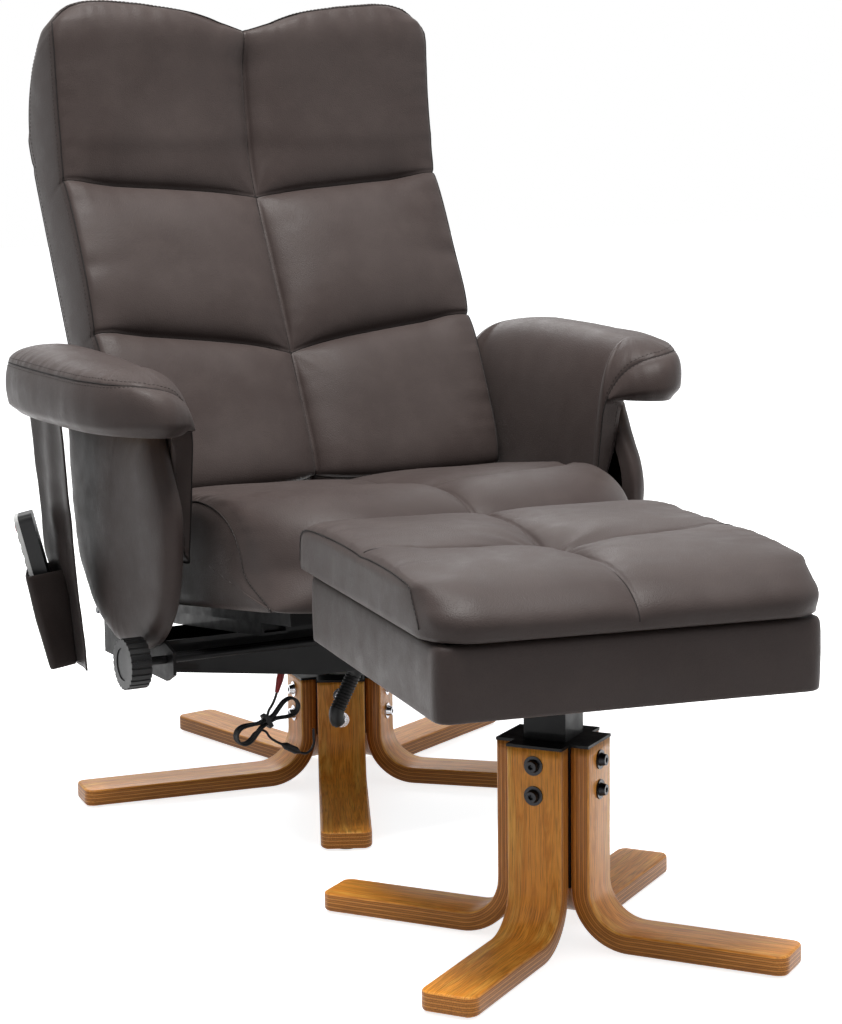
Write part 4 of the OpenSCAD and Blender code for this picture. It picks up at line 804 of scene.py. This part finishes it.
def closed_cushion(name, grid, place, body, hides, seed, under=8, gusset_rows=10, bulge=4.0):
    """Wrapped panel with its underside and a gusset at each side."""
    b = Build()
    b.grid(grid)
    t = np.linspace(0, 1, under + 1)[:, None, None]
    bottom = grid[-1][None] * (1 - t) + grid[0][None] * t
    b.grid(bottom)
    for col, sgn in ((0, -1), (-1, 1)):
        loop = np.concatenate([grid[:, col], bottom[1:-1, col]])
        c = np.array([loop[:, 0].mean(), (loop[:, 1].min() + loop[:, 1].max()) / 2,
                      (loop[:, 2].min() + loop[:, 2].max()) / 2])
        rings = []
        for k in range(gusset_rows + 1):
            q = k / gusset_rows
            s = 1 - q * 0.999
            r = c + (loop - c) * s
            r[:, 0] = loop[:, 0] * s + (sgn * np.abs(loop[:, 0]).max()) * (1 - s)
            r[:, 0] += sgn * bulge * (1 - (1 - min(q * 3.0, 1)) ** 2.2)
            r[:, 0] += sgn * 0.8 * noise(r * np.array([0, 1, 1]), 60, seed + 3) * min(q * 4, 1)
            rings.append(r)
        b.grid(np.array(rings), wrap=True)
    b.make(name, place, LEATHER, body, hides)


def share_at(profile, y_at):
    """Share of the profile's length at which its upper side passes y_at."""
    s = spline(profile, 400)
    length = np.r_[0, np.cumsum(np.linalg.norm(np.diff(s, axis=0), axis=1))]
    k = int(np.argmax((s[:, 0] < y_at) & (s[:, 1] > 100)))
    return float(length[k] / length[-1])


def seam_lines(name, grid, row, place, body):
    b = Build()
    for line in (grid[row, 1:-1], grid[2:-2, grid.shape[1] // 2], grid[2:-2, 0], grid[2:-2, -1]):
        sweep(b, even(line, 160), 0.9, 6)
    b.make(name, place, SEAM, body, (), 0)


def border_stitches(name, grid, first, last, body, place):
    rows = slice(first, -last)
    stitches(name, [grid[rows, 0] + [-0.6, 0, 1.0], grid[rows, -1] + [0.6, 0, 1.0]], body, place)


seat_profile = [(44, 36), (43, 60), (30, 110), (10, 150), (-8, 164), (-40, 168.5), (-100, 170), (-170, 170.5),
                (-250, 169.5), (-300, 165), (-340, 153), (-370, 134), (-388, 108), (-395, 82), (-396, 58), (-388, 42),
                (-365, 35)]
seat_grid, seam_row = wrapped(seat_profile, half=256.0, seam=share_at(seat_profile, -222), valley=20.0, crown_h=4.0,
                              nose=(125.0, -120.0, -300.0), seed=100, cols=110, rows=150, edge_roll=10.0,
                              line_from=(20, 150), dimple=(9.0, 95.0))
closed_cushion("seat_cushion_cover", seat_grid, SLOPE, "seat", ("seat_cushion",), 110)
border_stitches("seat_stitches", seat_grid, 8, 6, "seat", SLOPE)
seam_lines("seat_seam_lines", seat_grid, seam_row, SLOPE, "seat")

stool_profile = [(216, 364), (221, 374), (222, 390), (217, 403), (203, 411), (170, 415.5), (100, 418), (0, 418.5),
                 (-90, 417.5), (-145, 413), (-182, 404), (-205, 391), (-217, 377), (-217, 364)]
stool_grid, seam_row = wrapped(stool_profile, half=202.0, seam=share_at(stool_profile, 0), valley=25.0, crown_h=5.0,
                               nose=(50.0, -140.0, -212.0), seed=200, cols=96, rows=120, edge_roll=9.0,
                               line_from=(0, 150), dimple=(4.0, 78.0), tuck=0.0, fan=5.5, edge_w=45.0)
closed_cushion("footstool_cushion_cover", stool_grid, STOOL, "footstool_lid", ("stool_cushion",), 210)
seam_lines("footstool_seam_lines", stool_grid, seam_row, STOOL, "footstool_lid")
border_stitches("footstool_stitches", stool_grid, 4, 4, "footstool_lid", STOOL)

# ---------------- arms

ARM_MIDDLE, COVER_FOOT, PANEL_THICK = 339.0, 487.5, 25.4
# the seam of the top panel (x, y, z) and the foot of the band below it (x, y): up the inner panel's front edge, over
# the nose, along the outer side, round the rear, down the inner panel's rear edge and forwards along its lower edge
arm_seam = [(276, -160, 329, 276, -160), (276, -172, 345, 276, -172), (276, -181, 400, 276, -182),
            (276.5, -187, 440, 276.5, -188), (278, -193, 476, 280, -196), (286, -201, 504, 286, -210),
            (300, -210, 524, 298, -232), (318, -220, 536, 314, -248), (340, -226, 542, 334, -254),
            (360, -220, 545, 356, -240), (378, -199, 546, 378, -208), (390, -167, 547, 392, -170),
            (398, -120, 547.5, 399, -120), (400, 0, 549, 400, 0), (395, 80, 549, 394, 80), (383, 130, 546, 382, 130),
            (363, 165, 540, 362, 165), (330, 180, 530, 330, 180), (300, 178, 520, 300, 178), (284, 168, 505, 284, 168),
            (276.5, 154, 480, 276.5, 154), (276, 146, 430, 276, 146), (276, 138, 388, 276, 138),
            (276, 120, 372, 276, 120), (276, 40, 350, 276, 40), (276, -60, 338, 276, -60)]
arm_crest = table(spline([(-290, 529), (-272, 538), (-245, 548), (-200, 558), (-134, 565), (-60, 570), (20, 572),
                          (90, 570), (150, 561), (174, 549), (180, 532)], 60))


def mirrored(side):
    return lambda p: p * np.array([side, 1, 1])


def arm_cover(name, side, nodes):
    """One panel over the top and down the inside, sewn to a band that runs along the outer side and the nose."""
    seam = spline(arm_seam, 330, True)
    loop, zs, foot = seam[:, :2], seam[:, 2], seam[:, 3:]
    seam = seam[:, :3]
    out = outward(loop)
    tang = np.r_[0, np.cumsum(np.linalg.norm(np.diff(seam, axis=0), axis=1))]
    c = np.stack([np.full(len(loop), ARM_MIDDLE), np.clip(loop[:, 1], -165, 130)], -1)
    inside = smooth(-out[:, 0], 0.55, 0.95) * smooth(500 - zs, 0, 60)
    nose = smooth(-loop[:, 1], 190, 270)
    b = Build()
    rings = []
    count = 40
    for k in range(count + 1):
        q = (k / count) ** 2.2
        p = loop + (c - loop) * q
        lift = (1 - (1 - q) ** 2.3) ** (1 / (1.9 + 1.6 * inside))
        rings.append(np.stack([p[:, 0], p[:, 1], zs + (arm_crest(p[:, 1]) - zs) * lift], -1))
    rings = np.array(rings)
    n = grid_normals(rings)
    away = (rings - [ARM_MIDDLE, 0, 480.0]) * [1, 0, 1]
    n = np.where(np.sum(n * away, -1, keepdims=True) < 0, -n, n)
    d = np.linalg.norm(rings - rings[0], axis=2)
    h = pucker(tang[None, :] + 0 * d, d, 1.3, 11, 22, 301) + nose * pucker(tang[None, :] + 0 * d, d, 3.4, 9, 22, 305)
    h = h + 1.6 * noise(rings, 70, 311) * np.clip(d / 40, 0, 1)
    h = h * (1 - 0.6 * inside) - 0.6 * inside
    fade = np.clip((count - np.arange(count + 1)) / 8, 0, 1)[:, None]
    rings = rings + n * (h * fade)[..., None]
    b.grid(rings, wrap=True)
    # the band: down from the seam outside and at the nose, up behind the inner panel
    low = []
    steps = 18
    panel = smooth(490 - zs, 0, 12)
    cap = smooth(np.linalg.norm(foot - loop, axis=1), 3, 22) * (1 - panel)
    for k in range(steps + 1):
        t = k / steps
        bulge = 5.0 * math.sin(math.pi * min(t * 1.05, 1)) ** 0.7 - 9.0 * max(t - 0.85, 0) / 0.15
        g = nose * 3.4 * ripple(tang, 9, 317) * (math.sin(math.pi * t) ** 0.5) * (1 - 0.6 * t)
        g = (bulge + g + 0.5 * ripple(tang, 26, 319) * math.sin(math.pi * t)) * (1 - panel)
        # over the nose the band first runs forwards from the seam, then down
        ahead = math.sin(math.pi / 2 * t)
        down = t * (1 - cap) + (1 - math.cos(math.pi / 2 * t)) * cap
        mid = loop + (foot - loop) * ahead
        height = rings[0][:, 2] * (1 - down) + COVER_FOOT * down
        thick = PANEL_THICK * (0.25 + 0.75 * smooth(height, 330, 450))
        x = mid[:, 0] + out[:, 0] * g + panel * thick * min(t / 0.07, 1)
        low.append(np.stack([x, mid[:, 1] + out[:, 1] * g, height], -1))
    low = np.array(low)
    b.grid(low, wrap=True, flip=True)
    b.cap(low[-1])
    b.make(name, mirrored(side), LEATHER, "swivel_frame", nodes)
    b = Build()
    sweep(b, rings[0], 0.9, 6, closed=True)
    b.make(name + "_seam", mirrored(side), SEAM, "swivel_frame", (), 0)
    row = rings[np.argmax(d > 6, axis=0), np.arange(len(loop))]
    lines = [np.concatenate([row, row[:1]]), np.concatenate([low[1], low[1][:1]])]
    stitches(name + "_stitches", lines, "swivel_frame", mirrored(side))


# the boards under the covers, thinner than in the CAD, as the covers are drawn in at the noses
b = Build()
board = spline(arm_seam, 330, True)[:, 3:]
board = board - outward(board) * 15
board[:, 0] = np.maximum(board[:, 0], 306)
for side in (1, -1):
    flat = board * [side, 1]
    plate = np.array([at_height(flat, z) for z in (486.8, 487.2, 496.6, 497.0)])
    plate[1:3, :, :2] += outward(flat)[None] * 0.4 * side
    b.grid(plate, wrap=True)
    b.cap(plate[0])
    b.cap(plate[-1])
b.make("arm_board_plates", WORLD, PLY, "swivel_frame", ("arm_boards",), 0.01)
arm_cover("arm_cover_left", 1, ("arm_pad_left", "arm_inner_left"))
arm_cover("arm_cover_right", -1, ("arm_pad_right", "arm_inner_right"))


def side_panel(tag, side, loop, x_in=302.0, x_out=330.0, roll=46.0, seed=401):
    """Upholstered plate whose outline lies in Y and Z: a crowned face with rolled edges on the outside."""
    b = Build()
    middle = (loop.min(axis=0) + loop.max(axis=0)) / 2
    tang = np.r_[0, np.cumsum(np.linalg.norm(np.diff(loop, axis=0), axis=1))]
    spread = np.linalg.norm(loop - middle, axis=1)
    rings = []
    for q in np.concatenate([np.linspace(0, 0.3, 12, endpoint=False), np.linspace(0.3, 1, 12)]):
        y, z = (loop + (middle - loop) * q).T
        d = spread * q
        x = x_out - rim(d, roll) * (x_out - x_in) * 0.46 + 2.0 * (1 - (1 - q) ** 2)
        x = x + pucker(tang, d, 0.8, 16, 20, seed) + 0.9 * flat_noise(y, z, 70, seed)
        rings.append(np.stack([x, y, z], -1))
    b.grid(np.array(rings), wrap=True)
    out = outward(loop)
    border = []
    for k in range(9):
        t = k / 8
        x = rings[0][:, 0] * (1 - t) + x_in * t
        g = 2.5 * math.sin(math.pi * t) ** 0.7 - (3.0 if k == 8 else 0)
        border.append(np.stack([x, loop[:, 0] + out[:, 0] * g, loop[:, 1] + out[:, 1] * g], -1))
    b.grid(np.array(border), wrap=True, flip=True)
    b.cap(border[-1])
    b.make("side_panel_cover_" + tag, mirrored(side), LEATHER, "swivel_frame", ("side_panel_" + tag,))


leaf = [(0.14, 0.985), (0.08, 0.84), (0, 0.67), (0, 0.48), (0.04, 0.29), (0.13, 0.14), (0.25, 0.04), (0.4, 0.0),
        (0.56, 0.01), (0.73, 0.09), (0.87, 0.24), (0.96, 0.41), (1, 0.7), (1, 0.985)]
leaf_curve = spline([(-217 + a * 307, 222 + c * 264.6) for a, c in leaf], 150)
leaf_loop = np.concatenate([leaf_curve[:-1], even(np.array([[90, 486.6], [-170, 486.6]]), 60)[:-1]])
side_panel("left", 1, leaf_loop)
side_panel("right", -1, leaf_loop)

# ---------------- footstool box

BOX_X, BOX_Y = 196.5, 209.5


def box_outline(inset):
    base = round_rect(BOX_X, BOX_Y, 16, 5.0)
    n = outward(base)
    bulge = 1.2 * flat_noise(*base.T, 90, 501) * (inset < 8)
    return base - n * inset + n * bulge[:, None]


# inset and height: up the outside, over the brim, down the inside and onto the bottom
box_profile = [(3, 288.2), (0.6, 289.5), (0, 292), (-0.6, 310), (-0.8, 325), (-0.5, 345), (0, 352), (0.8, 356),
               (2.5, 359), (5, 360), (13, 360), (16, 359), (17.5, 356), (18, 350), (18, 301.5), (19, 300.2), (40, 300)]
rings = np.array([at_height(box_outline(inset), z) for inset, z in box_profile])
b = Build()
b.grid(rings, wrap=True)
b.cap(rings[0], flip=True)
b.cap(rings[-1])
box_obj = b.make("storage_box_cover", STOOL, LEATHER, "footstool", ("storage_box",))
box_obj.data.materials.append(FELT)
for poly in box_obj.data.polygons:
    c = poly.center
    x, y = c.x * 1000 - STOOL_AT[0], c.y * 1000 - STOOL_AT[1]
    if max(abs(x * ct + y * st) / BOX_X, abs(-x * st + y * ct) / BOX_Y) < 0.925 and c.z * 1000 > 295:
        poly.material_index = 1

# ---------------- pouch

# the strap: one hanging strip with soft pleats, seen from both sides
yy = np.linspace(0, 1, 41)[None, :]
zz = np.linspace(0, 1, 61)[:, None]
strap_y = -64 + 104 * yy + 0 * zz
strap_z = -303.5 * zz + 0 * yy
fold = 1.6 * np.sin(strap_y / 9.0 + 0.8 * np.sin(strap_z / 70)) * (1 - 0.35 * zz)
fold = fold + 0.8 * flat_noise(strap_y, strap_z, 30, 611)
strap_x = 1.4 + fold + 14 * smooth(-strap_z, 160, 235) * (strap_y + 64) / 104
outer, inner = (np.stack([strap_x + off, strap_y, strap_z], -1) for off in (-1.1, 1.1))
b = Build()
b.grid(outer, flip=True)
b.grid(inner)
b.grid(np.array([loop_of(outer), loop_of(inner)]), wrap=True)
b.make("pouch_strap", POUCH, LEATHER_SHADED, "swivel_frame", ("remote_pouch",))


def soft_quad(corners, radii, n):
    """Closed outline of n points through four corners, each cut by its radius."""
    c = np.array(corners, float)
    pts = []
    for k in range(4):
        before, after = c[k - 1] - c[k], c[(k + 1) % 4] - c[k]
        p = c[k] + before / np.linalg.norm(before) * radii[k]
        q = c[k] + after / np.linalg.norm(after) * radii[k]
        for t in np.linspace(0, 1, 9):
            pts.append((1 - t) ** 2 * p + 2 * t * (1 - t) * c[k] + t * t * q)
    return even(np.array(pts + [pts[0]]), n, True)


def turned_in(x, y):
    return cq * x + sq * y, -sq * x + cq * y


def pocket_outline(z):
    up = float(np.clip((z + 301) / 115, 0, 1))
    deep = 20.0 + 19.0 * up
    corners = [turned_in(-deep, -40), (5, -20 + 5 * up), (16 - 4 * up, 40), turned_in(-deep, 40)]
    return soft_quad(corners, (11, 2, 2, 11), 80)


# the wedge-shaped pocket: its outside from the foot up, its hem, then its inside down to the foot
pocket_profile = [(4, -303.9), (1.5, -303.5), (0.3, -301), (0, -296), (-0.6, -270), (-0.8, -240), (-0.4, -205),
                  (0, -192), (0.5, -187.5), (1.5, -186.2), (2.6, -187.2), (2.8, -192), (2.8, -298), (3.6, -300.6),
                  (8, -300.8)]
rings = []
for inset, z in pocket_profile:
    loop = pocket_outline(z)
    loop = loop - outward(loop) * inset
    rings.append(at_height(loop + 0.9 * noise(at_height(loop, z), 24, 631)[:, None] * outward(loop), z))
b = Build()
b.grid(np.array(rings), wrap=True)
b.cap(rings[0], flip=True)
b.cap(rings[-1])
pocket_obj = b.make("pouch_pocket", POUCH, LEATHER_SHADED, "swivel_frame", ())

# ---------------- studio


def end_tree(n, kind, lighting, white):
    """Rays from the camera, mirrored or passed through something clear show the white background, all others meet
    what lights the scene."""
    rays = n.new("LightPath")
    seen = n.math("MAXIMUM", rays["Is Camera Ray"], rays["Is Glossy Ray"])
    seen = n.math("MAXIMUM", seen, rays["Is Transmission Ray"])
    n.new("Output" + kind, {0: n.new("MixShader", {0: seen, 1: lighting, 2: white})[0]})


floor_mesh = D.meshes.new("floor")
floor_mesh.from_pydata([(-14, -14, 0), (14, -14, 0), (14, 14, 0), (-14, 14, 0)], [], [(0, 1, 2, 3)])
floor = D.objects.new("floor", floor_mesh)
bpy.context.scene.collection.objects.link(floor)
n = Nodes(D.materials.new("floor"), clear=True)
white = n.new("AddShader", {0: n.new("BsdfDiffuse", {0: (0.86, 0.86, 0.86, 1)})[0],
                            1: n.new("Emission", {0: (1, 1, 1, 1), 1: 0.8})[0]})[0]
end_tree(n, "Material", n.new("BsdfDiffuse", {0: (0.3, 0.3, 0.3, 1)})[0], white)
floor_mesh.materials.append(n.owner)

n = Nodes(D.worlds.new("studio"), clear=True)
bpy.context.scene.world = n.owner
height = n.new("SeparateXYZ", {0: n.new("TexCoord")["Generated"]})["Z"]
# brightness from just below the horizon up to the zenith
sky = n.new("Background", {0: (0.95, 0.97, 1.0, 1), 1: n.span(height, 0.06, 0.85, -0.1, 1.0)})[0]
end_tree(n, "World", sky, n.new("Background", {0: (1, 1, 1, 1), 1: 1.0})[0])


def lamp(name, at, target, size, watts, colour=(1, 1, 1)):
    data = D.lights.new(name, "AREA")
    data.shape = "DISK"
    data.size = size
    data.energy = watts
    data.color = colour
    o = D.objects.new(name, data)
    aim = Vector(np.subtract(target, at)).to_track_quat("-Z", "Y")
    o.matrix_world = Matrix.Translation(at) @ aim.to_matrix().to_4x4()
    bpy.context.scene.collection.objects.link(o)


lamp("key", (-0.35, -0.75, 3.4), (0, -0.15, 0.4), 1.8, 178, (1, 0.985, 0.965))
lamp("fill", (2.6, -2.6, 1.6), (0, -0.2, 0.4), 2.4, 9, (0.96, 0.98, 1))
lamp("rim", (0.8, 2.4, 2.2), (0, 0, 0.6), 1.8, 30)
bpy.context.scene.view_settings.view_transform = "Standard"
